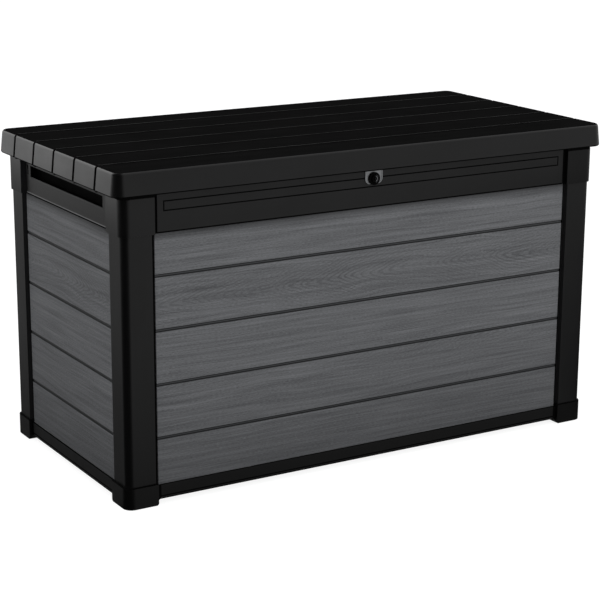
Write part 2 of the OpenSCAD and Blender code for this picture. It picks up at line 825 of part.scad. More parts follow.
module lock_housing() {
    bezel = 4;
    chamfer = 1.2;
    color("#101112") lock_frame() difference() {
        union() {
            translate([0, 0, plate_t]) cylinder(r = lock_r, h = bezel - chamfer, $fn = 64);
            translate([0, 0, plate_t + bezel - chamfer])
                cylinder(r1 = lock_r, r2 = lock_r - chamfer, h = chamfer, $fn = 64);
            translate([0, 0, -housing_len]) cylinder(r = housing_r, h = housing_len + plate_t + tiny, $fn = 64);
        }
        translate([0, 0, -housing_len - tiny])
            cylinder(r = barrel_r + running_fit, h = housing_len + plate_t + bezel + 2 * tiny, $fn = 64);
    }
}

module lock_nut() {
    nut_h = 6;
    color("#8b8f93") lock_frame() translate([0, 0, -frame_wall - nut_h]) difference() {
        cylinder(r = housing_r + 5, h = nut_h, $fn = 6);
        translate([0, 0, -tiny]) cylinder(r = housing_r + slip_fit, h = nut_h + 2 * tiny, $fn = 64);
    }
}

module lock_barrel() {
    face = plate_t + 5;
    key_w = 2;
    key_h = 9;
    key_depth = 4;
    color("#b9bcc0") lock_frame() difference() {
        translate([0, 0, -barrel_back]) cylinder(r = barrel_r, h = face + barrel_back, $fn = 64);
        translate([-key_w / 2, -key_h / 2, face - key_depth]) cube([key_w, key_h, key_depth + tiny]);
        translate([0, 0, -barrel_back - tiny])
            cylinder(r = cam_screw_r + slip_fit, h = cam_screw_len, $fn = 32);
    }
}

module lock_cam() {
    color("#8b8f93") lock_frame() translate([0, 0, -barrel_back - leaf_t]) linear_extrude(leaf_t)
        difference() {
            union() {
                circle(r = barrel_r, $fn = 64);
                translate([-cam_w / 2, 0]) square([cam_w, cam_len - cam_w / 2]);
                translate([0, cam_len - cam_w / 2]) circle(r = cam_w / 2, $fn = 64);
            }
            circle(r = cam_screw_r + slip_fit, $fn = 32);
        }
}

module lock_cam_screw() {
    head_h = 2.5;
    color("#b9bcc0") lock_frame() {
        translate([0, 0, -barrel_back - leaf_t - head_h])
            cylinder(r = cam_screw_r + 1.5, h = head_h, $fn = 32);
        translate([0, 0, -barrel_back - leaf_t - tiny / 2])
            cylinder(r = cam_screw_r, h = cam_screw_len + tiny / 2, $fn = 32);
    }
}

// Hook on the lid that the lock's cam turns over
module lid_strike() {
    ledge_top = lock_z - cam_w / 2 - cam_gap;
    ledge_reach = 8;
    color("#8b8f93") difference() {
        union() {
            translate([strike_x, strike_y, ledge_top - leaf_t])
                cube([strike_w, leaf_t, liner_z - ledge_top + leaf_t]);
            translate([strike_x, strike_y - ledge_reach, ledge_top - leaf_t])
                cube([strike_w, ledge_reach + tiny, leaf_t]);
            translate([strike_x, strike_y, liner_z - leaf_t]) cube([strike_w, strike_flange, leaf_t]);
        }
        strike_screw_places() screw_hole(leaf_t);
    }
}

// Seats of the screws of the strike, pointing up into the lid
module strike_screw_places() {
    for (sx = [-1, 1])
        translate([strike_x + strike_w / 2 + sx * (strike_w / 2 - strike_screw_in),
                   strike_y + strike_screw_back, liner_z - leaf_t])
            rotate([180, 0, 0]) children();
}

module strike_screws() {
    color("#b9bcc0") strike_screw_places() screw(leaf_t + liner_bite);
}

corner_post(-1, -1);  // post_front_left
corner_post(1, -1);  // post_front_right
corner_post(-1, 1);  // post_rear_left
corner_post(1, 1);  // post_rear_right
corner_cap(-1, -1);  // cap_front_left
corner_cap(1, -1);  // cap_front_right
corner_cap(-1, 1);  // cap_rear_left
corner_cap(1, 1);  // cap_rear_right
corner_foot(-1, -1);  // foot_front_left
corner_foot(1, -1);  // foot_front_right
corner_foot(-1, 1);  // foot_rear_left
corner_foot(1, 1);  // foot_rear_right
panel_long(-1);  // panel_front
panel_long(1);  // panel_rear
panel_short(-1);  // panel_left
panel_short(1);  // panel_right
rail_front();
rail_rear();
rail_side(-1);  // rail_left
rail_side(1);  // rail_right
base_rail_long(-1);  // base_rail_front
base_rail_long(1);  // base_rail_rear
base_rail_short(-1);  // base_rail_left
base_rail_short(1);  // base_rail_right
floor_half(-1);  // floor_left
floor_half(1);  // floor_right
floor_beam();
lid_shell();
lid_liner();
lid_bar(-1);  // lid_bar_front
lid_bar(1);  // lid_bar_rear
hinge_bracket(-hinge_spread);  // hinge_bracket_left
hinge_bracket(0);  // hinge_bracket_middle
hinge_bracket(hinge_spread);  // hinge_bracket_right
hinge_leaf(-hinge_spread);  // hinge_leaf_left
hinge_leaf(0);  // hinge_leaf_middle
hinge_leaf(hinge_spread);  // hinge_leaf_right
hinge_pins();
hinge_screws_case();
hinge_screws_lid();
strut_bracket(-1);  // strut_bracket_left
strut_bracket(1);  // strut_bracket_right
strut_hanger(-1);  // strut_hanger_left
strut_hanger(1);  // strut_hanger_right
strut_cylinder(-1);  // strut_cylinder_left
strut_cylinder(1);  // strut_cylinder_right
strut_rod(-1);  // strut_rod_left
strut_rod(1);  // strut_rod_right
strut_screws_case();
strut_screws_lid();
lock_plate();
lock_housing();
lock_nut();
lock_barrel();
lock_cam();
lock_cam_screw();
lid_strike();
strike_screws();
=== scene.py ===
import math
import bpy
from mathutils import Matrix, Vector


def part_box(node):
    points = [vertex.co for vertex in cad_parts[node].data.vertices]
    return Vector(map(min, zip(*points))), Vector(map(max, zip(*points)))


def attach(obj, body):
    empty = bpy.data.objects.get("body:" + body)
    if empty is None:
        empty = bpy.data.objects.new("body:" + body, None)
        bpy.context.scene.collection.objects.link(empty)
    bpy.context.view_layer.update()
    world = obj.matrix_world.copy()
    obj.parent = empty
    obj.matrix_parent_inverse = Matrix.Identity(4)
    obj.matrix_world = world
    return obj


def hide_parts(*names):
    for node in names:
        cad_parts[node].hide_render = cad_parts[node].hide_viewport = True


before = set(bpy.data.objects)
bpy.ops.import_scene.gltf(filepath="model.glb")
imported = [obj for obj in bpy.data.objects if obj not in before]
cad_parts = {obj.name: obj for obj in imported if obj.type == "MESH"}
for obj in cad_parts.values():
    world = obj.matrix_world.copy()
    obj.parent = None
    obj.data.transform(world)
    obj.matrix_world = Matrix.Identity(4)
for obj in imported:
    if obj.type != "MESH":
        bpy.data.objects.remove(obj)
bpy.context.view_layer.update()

from types import SimpleNamespace as Settings
import bmesh
import bpy
from mathutils import Matrix, Vector

print("deck storage box: frame loaded,", len(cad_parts), "nodes")

# how far a point may lie off the place that a test names
hair, slack = 1e-5, 1e-4
# a face looks along an axis when its normal's part along that axis passes one of these
tilted, square, exact, flat = 0.3, 0.9, 0.99, 0.999
finishLook = Settings(softAngle=40, smooth=35, panelSmooth=30)


def clearSelection():
    if bpy.context.mode != "OBJECT":
        bpy.ops.object.mode_set(mode="OBJECT")
    bpy.ops.object.select_all(action="DESELECT")


def makeActive(piece):
    clearSelection()
    piece.select_set(True)
    bpy.context.view_layer.objects.active = piece


def applyPlace(location=True, rotation=True, scale=True):
    bpy.ops.object.transform_apply(location=location, rotation=rotation, scale=scale)


def newPiece(name):
    piece = bpy.context.object
    piece.name = name
    piece.data.name = name
    applyPlace()
    return piece


def addBlock(name, low, high):
    clearSelection()
    middle = [(a + b) / 2 for a, b in zip(low, high)]
    size = [b - a for a, b in zip(low, high)]
    bpy.ops.mesh.primitive_cube_add(size=1, location=middle, scale=size)
    return newPiece(name)


def editMesh(piece, mode):
    if bpy.context.mode != "EDIT_MESH":
        makeActive(piece)
        bpy.ops.object.mode_set(mode="EDIT")
    bpy.ops.mesh.select_mode(type=mode)
    bpy.ops.mesh.select_all(action="DESELECT")
    return bmesh.from_edit_mesh(piece.data)


def pickParts(piece, mode, kind, test):
    mesh = editMesh(piece, mode)
    for part in getattr(mesh, kind):
        if test(part):
            part.select_set(True)
    bmesh.update_edit_mesh(piece.data)


def pickFaces(piece, test):
    # test gets a face's middle and its normal
    pickParts(piece, "FACE", "faces", lambda face: test(face.calc_center_median(), face.normal))


def pickEdges(piece, test):
    # test gets the two ends of an edge
    pickParts(piece, "EDGE", "edges", lambda edge: test(*(point.co for point in edge.verts)))


def pickOpenEdges(piece, test=lambda place: True):
    # edges with a face on one side only, whose ends both pass the test
    pickParts(piece, "EDGE", "edges",
              lambda edge: edge.is_boundary and all(test(point.co) for point in edge.verts))


def pickPoints(piece, test):
    pickParts(piece, "VERT", "verts", lambda point: test(point.co))


def cutAt(piece, axis, values, test=lambda middle, facing: True):
    # cuts the faces that pass the test square to an axis
    normal = [0, 0, 0]
    normal[axis] = 1
    for value in values:
        pickFaces(piece, test)
        bpy.ops.mesh.bisect(plane_co=[value * part for part in normal], plane_no=normal)


def extrudePicked(move):
    bpy.ops.mesh.extrude_region_move(TRANSFORM_OT_translate={"value": move})


def movePicked(move):
    bpy.ops.transform.translate(value=move)


def sinkPicked(depth):
    bpy.ops.mesh.extrude_region_shrink_fatten(TRANSFORM_OT_shrink_fatten={"value": -depth})


def insetPicked(width, depth=0.0):
    bpy.ops.mesh.inset(thickness=width, depth=depth)


def bevelPicked(width, segments, profile=0.5):
    bpy.ops.mesh.bevel(offset=width, segments=segments, profile=profile, clamp_overlap=True)


def deletePicked():
    bpy.ops.mesh.delete(type="FACE")


def joinBlocks(piece, blocks):
    makeActive(piece)
    for block in blocks:
        block.select_set(True)
    bpy.ops.object.join()


def applyModifier(piece, kind, **settings):
    makeActive(piece)
    modifier = piece.modifiers.new(kind, kind)
    for name, value in settings.items():
        setattr(modifier, name, value)
    bpy.ops.object.modifier_apply(modifier=modifier.name)


def softenEdges(piece, width, segments=2, angle=finishLook.softAngle):
    applyModifier(piece, "BEVEL", width=width, segments=segments, limit_method="ANGLE",
                  angle_limit=math.radians(angle))


def thicken(piece, thickness):
    applyModifier(piece, "SOLIDIFY", thickness=thickness, use_even_offset=True)


def faceOutwards():
    bpy.ops.mesh.select_all(action="SELECT")
    bpy.ops.mesh.normals_make_consistent()


def addFinishes(piece, *names):
    for name in names:
        piece.data.materials.append(finishes[name])


def paintFaces(piece, index, test):
    for face in piece.data.polygons:
        if test(face.center, face.normal):
            face.material_index = index


def finishPiece(piece, body, nodes, smooth=finishLook.smooth):
    makeActive(piece)
    applyPlace()
    bpy.ops.object.shade_smooth_by_angle(angle=math.radians(smooth))
    # wide faces stay flat, only the small bevels turn the light
    applyModifier(piece, "WEIGHTED_NORMAL", keep_sharp=True)
    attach(piece, body)
    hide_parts(*nodes)


def copyPiece(piece, name):
    makeActive(piece)
    bpy.ops.object.duplicate()
    return newPiece(name)


def mirrorPiece(piece, signs):
    makeActive(piece)
    piece.scale = signs
    applyPlace(location=False, rotation=False)
    if signs[0] * signs[1] * signs[2] < 0:
        bpy.ops.object.mode_set(mode="EDIT")
        faceOutwards()
        bpy.ops.object.mode_set(mode="OBJECT")


def turnPiece(piece, degrees):
    makeActive(piece)
    piece.rotation_euler = (0, 0, math.radians(degrees))
    applyPlace(location=False, scale=False)


def buildSides(build, piece, node, long, short):
    # every side is made facing -Y and then turned
    for side, degrees, given in (("front", 0, long), ("rear", 180, long),
                                 ("left", -90, short), ("right", 90, short)):
        build(piece + side, node + side, degrees, *given)


def toLinear(value):
    # a display level from 0 to 255 as linear light
    value = value / 255
    return value / 12.92 if value <= 0.04045 else ((value + 0.055) / 1.055) ** 2.4


def shade(red, green, blue):
    return (toLinear(red), toLinear(green), toLinear(blue), 1)


# the finished materials by name
finishes = {}


def newMaterial(name):
    material = bpy.data.materials.new(name)
    material.use_nodes = True
    finishes[name] = material
    return material.node_tree, material.node_tree.nodes["Principled BSDF"]


def addNode(tree, kind, sockets=None, **settings):
    # sockets take numbers or other nodes' outputs
    node = tree.nodes.new("ShaderNode" + kind)
    for name, value in settings.items():
        setattr(node, name, value)
    for key, value in (sockets or {}).items():
        if isinstance(value, bpy.types.NodeSocket):
            tree.links.new(value, node.inputs[key])
        else:
            node.inputs[key].default_value = value
    return node


def addMath(tree, operation, *values):
    return addNode(tree, "Math", dict(enumerate(values)), operation=operation).outputs[0]


def times(tree, first, second):
    return addMath(tree, "MULTIPLY", first, second)


def timesPlus(tree, first, second, third):
    return addMath(tree, "MULTIPLY_ADD", first, second, third)


def addVector(tree, operation, *values, result=0):
    node = addNode(tree, "VectorMath", dict(enumerate(values)), operation=operation)
    return node.outputs[result]


def splitVector(tree, vector):
    return addNode(tree, "SeparateXYZ", {"Vector": vector}).outputs


def joinVector(tree, *parts):
    return addNode(tree, "CombineXYZ", dict(enumerate(parts))).outputs[0]


def placeNodes(tree):
    return addNode(tree, "TexCoord").outputs["Object"]


def stretched(tree, place, scale):
    return addNode(tree, "Mapping", {"Vector": place, "Scale": scale}).outputs["Vector"]


def addNoise(tree, vector, scale, detail=3, roughness=0.55):
    return addNode(tree, "TexNoise", {"Vector": vector, "Scale": scale, "Detail": detail,
                                      "Roughness": roughness}).outputs["Fac"]


def blendColours(tree, factor, first, second):
    return addNode(tree, "Mix", {0: factor, 6: first, 7: second}, data_type="RGBA").outputs[2]


def rangeOf(tree, value, low, high, newLow=0.0, newHigh=1.0):
    return addNode(tree, "MapRange",
                   {0: value, 1: low, 2: high, 3: newLow, 4: newHigh}).outputs["Result"]


def dressShader(tree, shader, look, colour, tone, roughness, height, strength, distance):
    spread = look.roughnessSpread
    gloss = rangeOf(tree, tone, *look.roughnessRange, roughness + spread, roughness - spread)
    bump = addNode(tree, "Bump",
                   {"Strength": strength, "Distance": distance, "Height": height}).outputs["Normal"]
    for socket, value in (("Base Color", colour), ("Roughness", gloss), ("Normal", bump)):
        tree.links.new(value, shader.inputs[socket])


plastic = Settings(
    grainSize=0.0012,
    grainDepth=0.00006,
    grainDetail=(2, 0.6),
    mottle=(9, 4, 0.55),
    flow=(30, 4, 0.6),
    flowHeight=0.6,
    roughnessRange=(0.3, 0.7),
    roughnessSpread=0.05,
    bump=0.5,
    # display levels clean and worn, roughness, specular, stretch of the flow marks, relief
    kinds={
        "frameBlack": ((6, 6, 6), (9, 9, 10), 0.35, 0.5, (1, 1, 0.08)),
        "railBlack": ((6, 6, 6), (9, 9, 10), 0.35, 0.5, (0.12, 0.12, 1)),
        # painted highlight for the bead along the short rails' lower edge
        "railBead": ((92, 92, 93), (102, 102, 103), 0.35, 0.5),
        "baseBlack": ((5, 5, 5), (8, 8, 8), 0.4, 0.4),
        "lidBlack": ((7, 7, 7), (10, 10, 11), 0.35, 0.5, (0.2, 0.2, 1)),
        "lidLineBlack": ((12.5, 12.5, 12.5), (17, 17, 17), 0.5, 0.1, (0.05, 1, 1)),
        "lidTopBlack": ((12.5, 12.5, 12.5), (17, 17, 17), 0.85, 0.0, (0.05, 1, 1), 2.0),
        "innerBlack": ((14, 14, 15), (20, 20, 21), 0.5, 0.4),
        # painted shade: a dull black for gaps, grooves, recesses and hidden strips where shade falls
        "gapBlack": ((6, 6, 6), (9, 9, 9), 0.9, 0.05),
        # painted light: a lighter grey copy of the black plastic for the recess faces beside planks
        # and rails
        "recessGrey": ((26, 26, 27), (32, 32, 33), 0.8, 0.1),
        # painted shade: darker, less glossy copies of the frame and base black for some corners
        "frameDim": ((5, 5, 5), (8, 8, 8), 0.38, 0.33, (1, 1, 0.08)),
        "baseDim": ((4, 4, 4), (6, 6, 6), 0.42, 0.25),
        "steelDark": ((38, 39, 41), (48, 49, 51), 0.45, 0.5),
        "strutBlack": ((22, 22, 23), (28, 28, 29), 0.3, 0.5, (1, 1, 1), 0.3),
        "lockBlack": ((3, 3, 3), (5, 5, 5), 0.3, 0.04, (1, 1, 1), 0.3),
    },
)


def makePlastic(name, cleanAndUnshaded, worn, roughness, specular, streaks=(1, 1, 1), relief=1.0):
    # moulded plastic: fine leather grain, slow mottling and faint flow marks
    tree, shader = newMaterial(name)
    place = placeNodes(tree)
    grain = addNoise(tree, place, 1 / plastic.grainSize, *plastic.grainDetail)
    mottle = addNoise(tree, place, *plastic.mottle)
    flow = addNoise(tree, stretched(tree, place, streaks), *plastic.flow)
    mixed = timesPlus(tree, mottle, 0.5, times(tree, flow, 0.5))
    colour = blendColours(tree, rangeOf(tree, mixed, *plastic.roughnessRange),
                          shade(*cleanAndUnshaded), shade(*worn))
    shader.inputs["Specular IOR Level"].default_value = specular
    dressShader(tree, shader, plastic, colour, mixed, roughness,
                timesPlus(tree, flow, plastic.flowHeight, grain),
                plastic.bump * relief, plastic.grainDepth * relief)


wood = Settings(
    light=shade(114, 115.2, 117.8),
    dark=shade(71, 72, 74.2),
    ring=shade(60, 61, 63),
    # painted shade in the seams between planks, and a painted lit strip along each seam's bottom
    groove=shade(36, 37, 38),
    grooveHalf=0.0040,
    grooveSoft=(0.004, 0.001),
    grooveCore=shade(62, 63, 65),
    coreHalf=0.0009,
    coreSoft=(0.005, 0.002),
    # painted shade: how dark close to the edge, and where it begins and ends
    railShade=(0.34, 0.023),
    groundShade=(0.84, 0.055, 0.280),
    roughness=0.62,
    roughnessSpread=0.06,
    roughnessRange=(0.3, 0.7),
    specular=0.25,
    relief=0.0004,
    bump=0.6,
    # each row reads its own part of the noise
    rowShift=7.31,
    sway=((1.6, 1.3, 3.7), 1.4, 2, 0.5),
    swing=(0.34, 0.10),
    # the three fibre sizes: stretch, detail, roughness and share of the tone
    broad=((2.2, 13, 11), 3, 0.55),
    fibre=((6, 62, 11), 4, 0.6),
    fine=((120, 200, 11), 3, 0.6),
    shares=(0.24, 0.30, 0.46),
    toneRange=(0.39, 0.61),
    # rows from the ground: the arches' middle line, how strong and which way they point
    arches={1: (0.062, 0.55, -1), 3: (-0.002, 1.0, 1)},
    wander=((3.1, 0, 2.3), 0.05),
    uneven=((5, 0.4, 3), 0.16),
    ripple=((26, 7, 5), 0.9),
    patches=((3.6, 0.5, 4), (0.40, 0.60, 0.15, 1.0)),
    ringCore=(0.005, 0.058, 1.0, 0.35),
    ringGap=0.027,
    ringSharpness=2.5,
    ringShare=0.55,
    ringHeight=-0.35,
    archSlope=3.3,
    archTip=0.005,
    straightShare=0.12,
)


def makeWood(name, along, low, pitch, railBottom):
    # embossed planks: straight fibre lines on most rows, chains of nested arches on two of them
    tree, shader = newMaterial(name)

    def calc(operation, *values):
        return addMath(tree, operation, *values)

    def noise(vector, stretch, *settings):
        return addNoise(tree, stretched(tree, vector, stretch), 1, *settings)

    place = placeNodes(tree)
    parts = splitVector(tree, place)
    rise = calc("DIVIDE", calc("SUBTRACT", parts[2], low), pitch)
    row = calc("FLOOR", rise)
    across = calc("SUBTRACT", calc("SUBTRACT", rise, row), 0.5)
    shifted = timesPlus(tree, row, wood.rowShift, parts[along])
    slow = joinVector(tree, shifted, across, row)
    stretch, *settings = wood.sway
    sway = addNoise(tree, stretched(tree, slow, stretch), *settings)
    # arches: growth rings cut at a slant, drawn where their tips lie along a wandering middle line
    middle, strength, facing = 0.0, wood.straightShare, 1.0
    for index, (centre, share, way) in wood.arches.items():
        gate = calc("COMPARE", row, float(index), 0.4)
        middle = timesPlus(tree, gate, centre, middle)
        strength = timesPlus(tree, gate, share - wood.straightShare, strength)
        facing = timesPlus(tree, gate, way - 1.0, facing)
    swing = timesPlus(tree, strength, *wood.swing)
    bent = timesPlus(tree, sway, swing, across)
    lines = joinVector(tree, shifted, bent, row)
    broad, fibre, fine = (noise(lines, *size) for size in (wood.broad, wood.fibre, wood.fine))
    stretch, reach = wood.wander
    wander = timesPlus(tree, noise(slow, stretch, 2), reach, -reach / 2)
    middle = calc("ADD", middle, wander)
    off = calc("SUBTRACT", times(tree, across, pitch), middle)
    leg = calc("SQRT", timesPlus(tree, off, off, wood.archTip ** 2))
    stretch, reach = wood.uneven
    tip = timesPlus(tree, noise(slow, stretch), reach, times(tree, shifted, facing))
    grown = timesPlus(tree, leg, -wood.archSlope, tip)
    stretch, reach = wood.ripple
    ripple = noise(slow, stretch, 3, 0.6)
    turns = timesPlus(tree, ripple, reach, calc("DIVIDE", grown, wood.ringGap))
    wave = calc("SINE", times(tree, turns, math.tau))
    wave = timesPlus(tree, wave, 0.5, 0.5)
    stretch, span = wood.patches
    patches = rangeOf(tree, noise(slow, stretch, 2), *span)
    core = rangeOf(tree, calc("ABSOLUTE", off), *wood.ringCore)
    ringShare = times(tree, times(tree, patches, core), strength)
    ring = times(tree, calc("POWER", wave, wood.ringSharpness), ringShare)
    shares = wood.shares
    tone = timesPlus(tree, broad, shares[0], times(tree, fibre, shares[1]))
    tone = timesPlus(tree, fine, shares[2], tone)
    colour = blendColours(tree, rangeOf(tree, tone, *wood.toneRange), wood.dark, wood.light)
    colour = blendColours(tree, times(tree, ring, wood.ringShare), colour, wood.ring)
    # the seam between two planks: painted shade in the groove, with a painted lit strip along its
    # bottom
    for half, (before, after), paint in ((wood.grooveHalf, wood.grooveSoft, wood.groove),
                                         (wood.coreHalf, wood.coreSoft, wood.grooveCore)):
        edge = 0.5 - half / pitch
        seam = rangeOf(tree, calc("ABSOLUTE", across), edge - before, edge + after)
        colour = blendColours(tree, seam, colour, paint)
    # painted shade close under the rail and near the ground
    depth = calc("SUBTRACT", railBottom, parts[2])
    cleanAndUnshaded = rangeOf(tree, depth, 0, wood.railShade[1], wood.railShade[0], 1.0)
    shadeAtGround, lowest, highest = wood.groundShade
    cleanAndUnshaded = times(tree, cleanAndUnshaded, rangeOf(tree, parts[2], lowest, highest, shadeAtGround, 1.0))
    shadedColour = addNode(tree, "VectorMath", {0: colour, "Scale": cleanAndUnshaded}, operation="SCALE")
    shader.inputs["Specular IOR Level"].default_value = wood.specular
    dressShader(tree, shader, wood, shadedColour.outputs[0], tone, wood.roughness,
                timesPlus(tree, ring, wood.ringHeight, tone), wood.bump, wood.relief)


metal = Settings(
    mottle=(60, 4, 0.6),
    brush=(400, 3, 0.6),
    colourRange=(0.35, 0.65),
    roughnessRange=(0.3, 0.7),
    roughnessSpread=0.08,
    bump=(0.2, 0.00003),
    # display levels, roughness, stretch of the brush marks, how much darker the spots are
    kinds={
        "steelZinc": ((176, 178, 180), 0.38),
        "rodChrome": ((205, 207, 210), 0.14, (1, 1, 1), 0.05),
        "lockGrey": ((176, 178, 180), 0.38, (1, 1, 0.1)),
        "lockMetal": ((150, 152, 154), 0.25),
    },
)


def makeMetal(name, levels, roughness, brushed=(1, 1, 1), spots=0.15):
    tree, shader = newMaterial(name)
    place = placeNodes(tree)
    mottle = addNoise(tree, place, *metal.mottle)
    brush = addNoise(tree, stretched(tree, place, brushed), *metal.brush)
    mixed = timesPlus(tree, mottle, 0.5, times(tree, brush, 0.5))
    cleanAndUnshaded = shade(*levels)
    darker = [c * (1 - spots) for c in cleanAndUnshaded[:3]] + [1]
    colour = blendColours(tree, rangeOf(tree, mixed, *metal.colourRange), darker, cleanAndUnshaded)
    shader.inputs["Metallic"].default_value = 1.0
    dressShader(tree, shader, metal, colour, mixed, roughness, brush, *metal.bump)


for name, settings in plastic.kinds.items():
    makePlastic(name, *settings)
for name, settings in metal.kinds.items():
    makeMetal(name, *settings)


postLow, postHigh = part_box("post_rear_right")
capLow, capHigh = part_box("cap_rear_right")
footLow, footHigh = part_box("foot_rear_right")
lidLow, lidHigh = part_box("lid_shell")
panelLow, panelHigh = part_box("panel_front")
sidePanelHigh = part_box("panel_right")[1]
railLow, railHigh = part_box("rail_front")
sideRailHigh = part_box("rail_right")[1]
baseLow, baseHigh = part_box("base_rail_front")
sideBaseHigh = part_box("base_rail_right")[1]

# the rear right corner is modelled, the others are its mirror images
corners = (("front_left", (-1, -1, 1)), ("front_right", (1, -1, 1)),
           ("rear_left", (-1, 1, 1)), ("rear_right", (1, 1, 1)))

cornerLook = Settings(
    core=0.018,
    postRadius=0.024,
    capRadius=0.02625,
    roundSteps=10,
    capStepBack=0.0085,
    capStepAt=0.768,
    recessBelow=0.0004,
    softEdge=0.0012,
    footPadTop=0.030,
    footWall=0.004,
    footRound=0.0065,
    footRoundSteps=4,
    footTopLine=0.002,
    toeRadius=0.007,
    toeTop=0.013,
    toeDepth=0.015,
    toeOverlap=0.001,
    toeFill=0.98,
    toeSteps=6,
    toeProfile=0.14,
    # the caps and feet that take the shaded copy of their black, as painted shade
    dimCaps=("front_right", "rear_left"),
    dimFeet=("front_right",),
)
inner = Vector((postHigh.x - cornerLook.core, postHigh.y - cornerLook.core, 0))


def roundCorner(piece, high, radius):
    pickEdges(piece, lambda a, b: min(a.x, b.x) > high.x - slack and min(a.y, b.y) > high.y - slack)
    bevelPicked(radius, cornerLook.roundSteps)


def addCorner(name, low, high, radius):
    # L-shaped column: the corner block grows a leg towards each neighbour
    piece = addBlock(name, (inner.x, inner.y, low.z), high)
    pickFaces(piece, lambda m, n: n.x < -square)
    extrudePicked((low.x - inner.x, 0, 0))
    pickFaces(piece, lambda m, n: n.y < -square and m.x > inner.x)
    extrudePicked((0, low.y - inner.y, 0))
    roundCorner(piece, high, radius)
    return piece


def spreadCorner(first, kind, special=None, places=()):
    # special takes the place of the first material at some of the corners
    for place, signs in corners:
        piece = copyPiece(first, kind + "." + place)
        mirrorPiece(piece, signs)
        if place in places:
            piece.data.materials[0] = finishes[special]
        finishPiece(piece, "case", [kind + "_" + place])
    bpy.data.objects.remove(first)


def buildPosts():
    first = addCorner("postMould", postLow, postHigh, cornerLook.postRadius)
    softenEdges(first, cornerLook.softEdge)
    addFinishes(first, "frameBlack", "recessGrey")
    # painted light: the leg-end faces beside the planks take the lighter grey
    paintFaces(first, 1, lambda m, n: (n.x < -square and m.x < postLow.x + slack)
               or (n.y < -square and m.y < postLow.y + slack))
    spreadCorner(first, "post")


def buildCaps():
    stepAt, back = cornerLook.capStepAt, cornerLook.capStepBack
    high = Vector((capHigh.x, capHigh.y, stepAt))
    first = addCorner("capMould", capLow, high, cornerLook.capRadius)
    pickFaces(first, lambda m, n: n.z > square)
    extrudePicked((0, 0, capHigh.z - stepAt))
    # above the step the outer faces lean back
    pickPoints(first, lambda p: p.z > stepAt + slack and p.y > inner.y + slack)
    movePicked((0, -back, 0))
    pickPoints(first, lambda p: p.z > stepAt + slack and p.x > inner.x + slack)
    movePicked((-back, 0, 0))
    softenEdges(first, cornerLook.softEdge)
    addFinishes(first, "frameBlack", "gapBlack", "recessGrey")
    # painted shade: the faces above the step, under the lid, take the dull black
    paintFaces(first, 1, lambda m, n: m.z > stepAt - cornerLook.recessBelow)
    paintFaces(first, 2, lambda m, n: n.y < -square and m.y < capLow.y + slack and m.z < stepAt)
    # some caps take the shaded copy of the black: painted shade
    spreadCorner(first, "cap", "frameDim", cornerLook.dimCaps)


def buildFeet():
    toe, padTop, toeTop = cornerLook.toeRadius, cornerLook.footPadTop, cornerLook.toeTop
    low = Vector((footLow.x + toe, footLow.y + toe, 0))
    first = addBlock("footMould", low, (footHigh.x, footHigh.y, padTop))
    roundCorner(first, footHigh, cornerLook.postRadius)
    topOnly = lambda m, n: n.z > square
    cutAt(first, 0, [inner.x], topOnly)
    cutAt(first, 1, [inner.y], topOnly)
    pickFaces(first, lambda m, n: n.z > square and (m.x > inner.x or m.y > inner.y))
    extrudePicked((0, 0, footHigh.z - padTop))
    pickEdges(first, lambda a, b: max(a.z, b.z) < hair
              and (max(a.x, b.x) < low.x + hair or max(a.y, b.y) < low.y + hair))
    bevelPicked(cornerLook.footRound, cornerLook.footRoundSteps)
    # the foot is hollow from below
    pickFaces(first, lambda m, n: n.z < -flat)
    insetPicked(cornerLook.footWall)
    extrudePicked((0, 0, padTop - cornerLook.footWall))
    softenEdges(first, cornerLook.softEdge)
    # the small fillets between the foot and its base rails
    toes = []
    depth, overlap = cornerLook.toeDepth, cornerLook.toeOverlap
    for axis, lowest, highest in (
            (0, (low.x - toe, inner.y, toeTop - toe), (low.x + overlap, inner.y + depth, toeTop)),
            (1, (inner.x, low.y - toe, toeTop - toe), (inner.x + depth, low.y + overlap, toeTop))):
        block = addBlock("toe", lowest, highest)
        pickEdges(block, lambda a, b: max(a.z, b.z) < lowest[2] + hair
                  and max(a[axis], b[axis]) < lowest[axis] + hair)
        bevelPicked(toe * cornerLook.toeFill, cornerLook.toeSteps, cornerLook.toeProfile)
        toes.append(block)
    joinBlocks(first, toes)
    addFinishes(first, "baseBlack", "gapBlack")
    # painted shade: a dull black line along the top, under the post
    paintFaces(first, 1, lambda m, n: n.z > tilted and m.z > footHigh.z - cornerLook.footTopLine)
    # some feet take the shaded copy of the black: painted shade
    spreadCorner(first, "foot", "baseDim", cornerLook.dimFeet)


buildPosts()
buildCaps()
buildFeet()


plankLook = Settings(
    count=5,
    pitch=0.1355,
    topHidden=0.032,
    panelHidden=0.020,
    grooveHeight=0.0065,
    grooveDepth=0.0022,
    softEdge=0.0012,
    endEdge=0.0008,
    gap=0.0095,
    thickness=0.0045,
    tongue=0.003,
    tongueRise=0.02,
    blackLine=0.0065,
    # how far the hidden strips reach behind the plank and behind the post
    stripIn=0.01,
    stripOut=0.019,
)


def stripSpan(side, end, half):
    return sorted((side * (end - plankLook.stripIn), side * (half + plankLook.stripOut)))


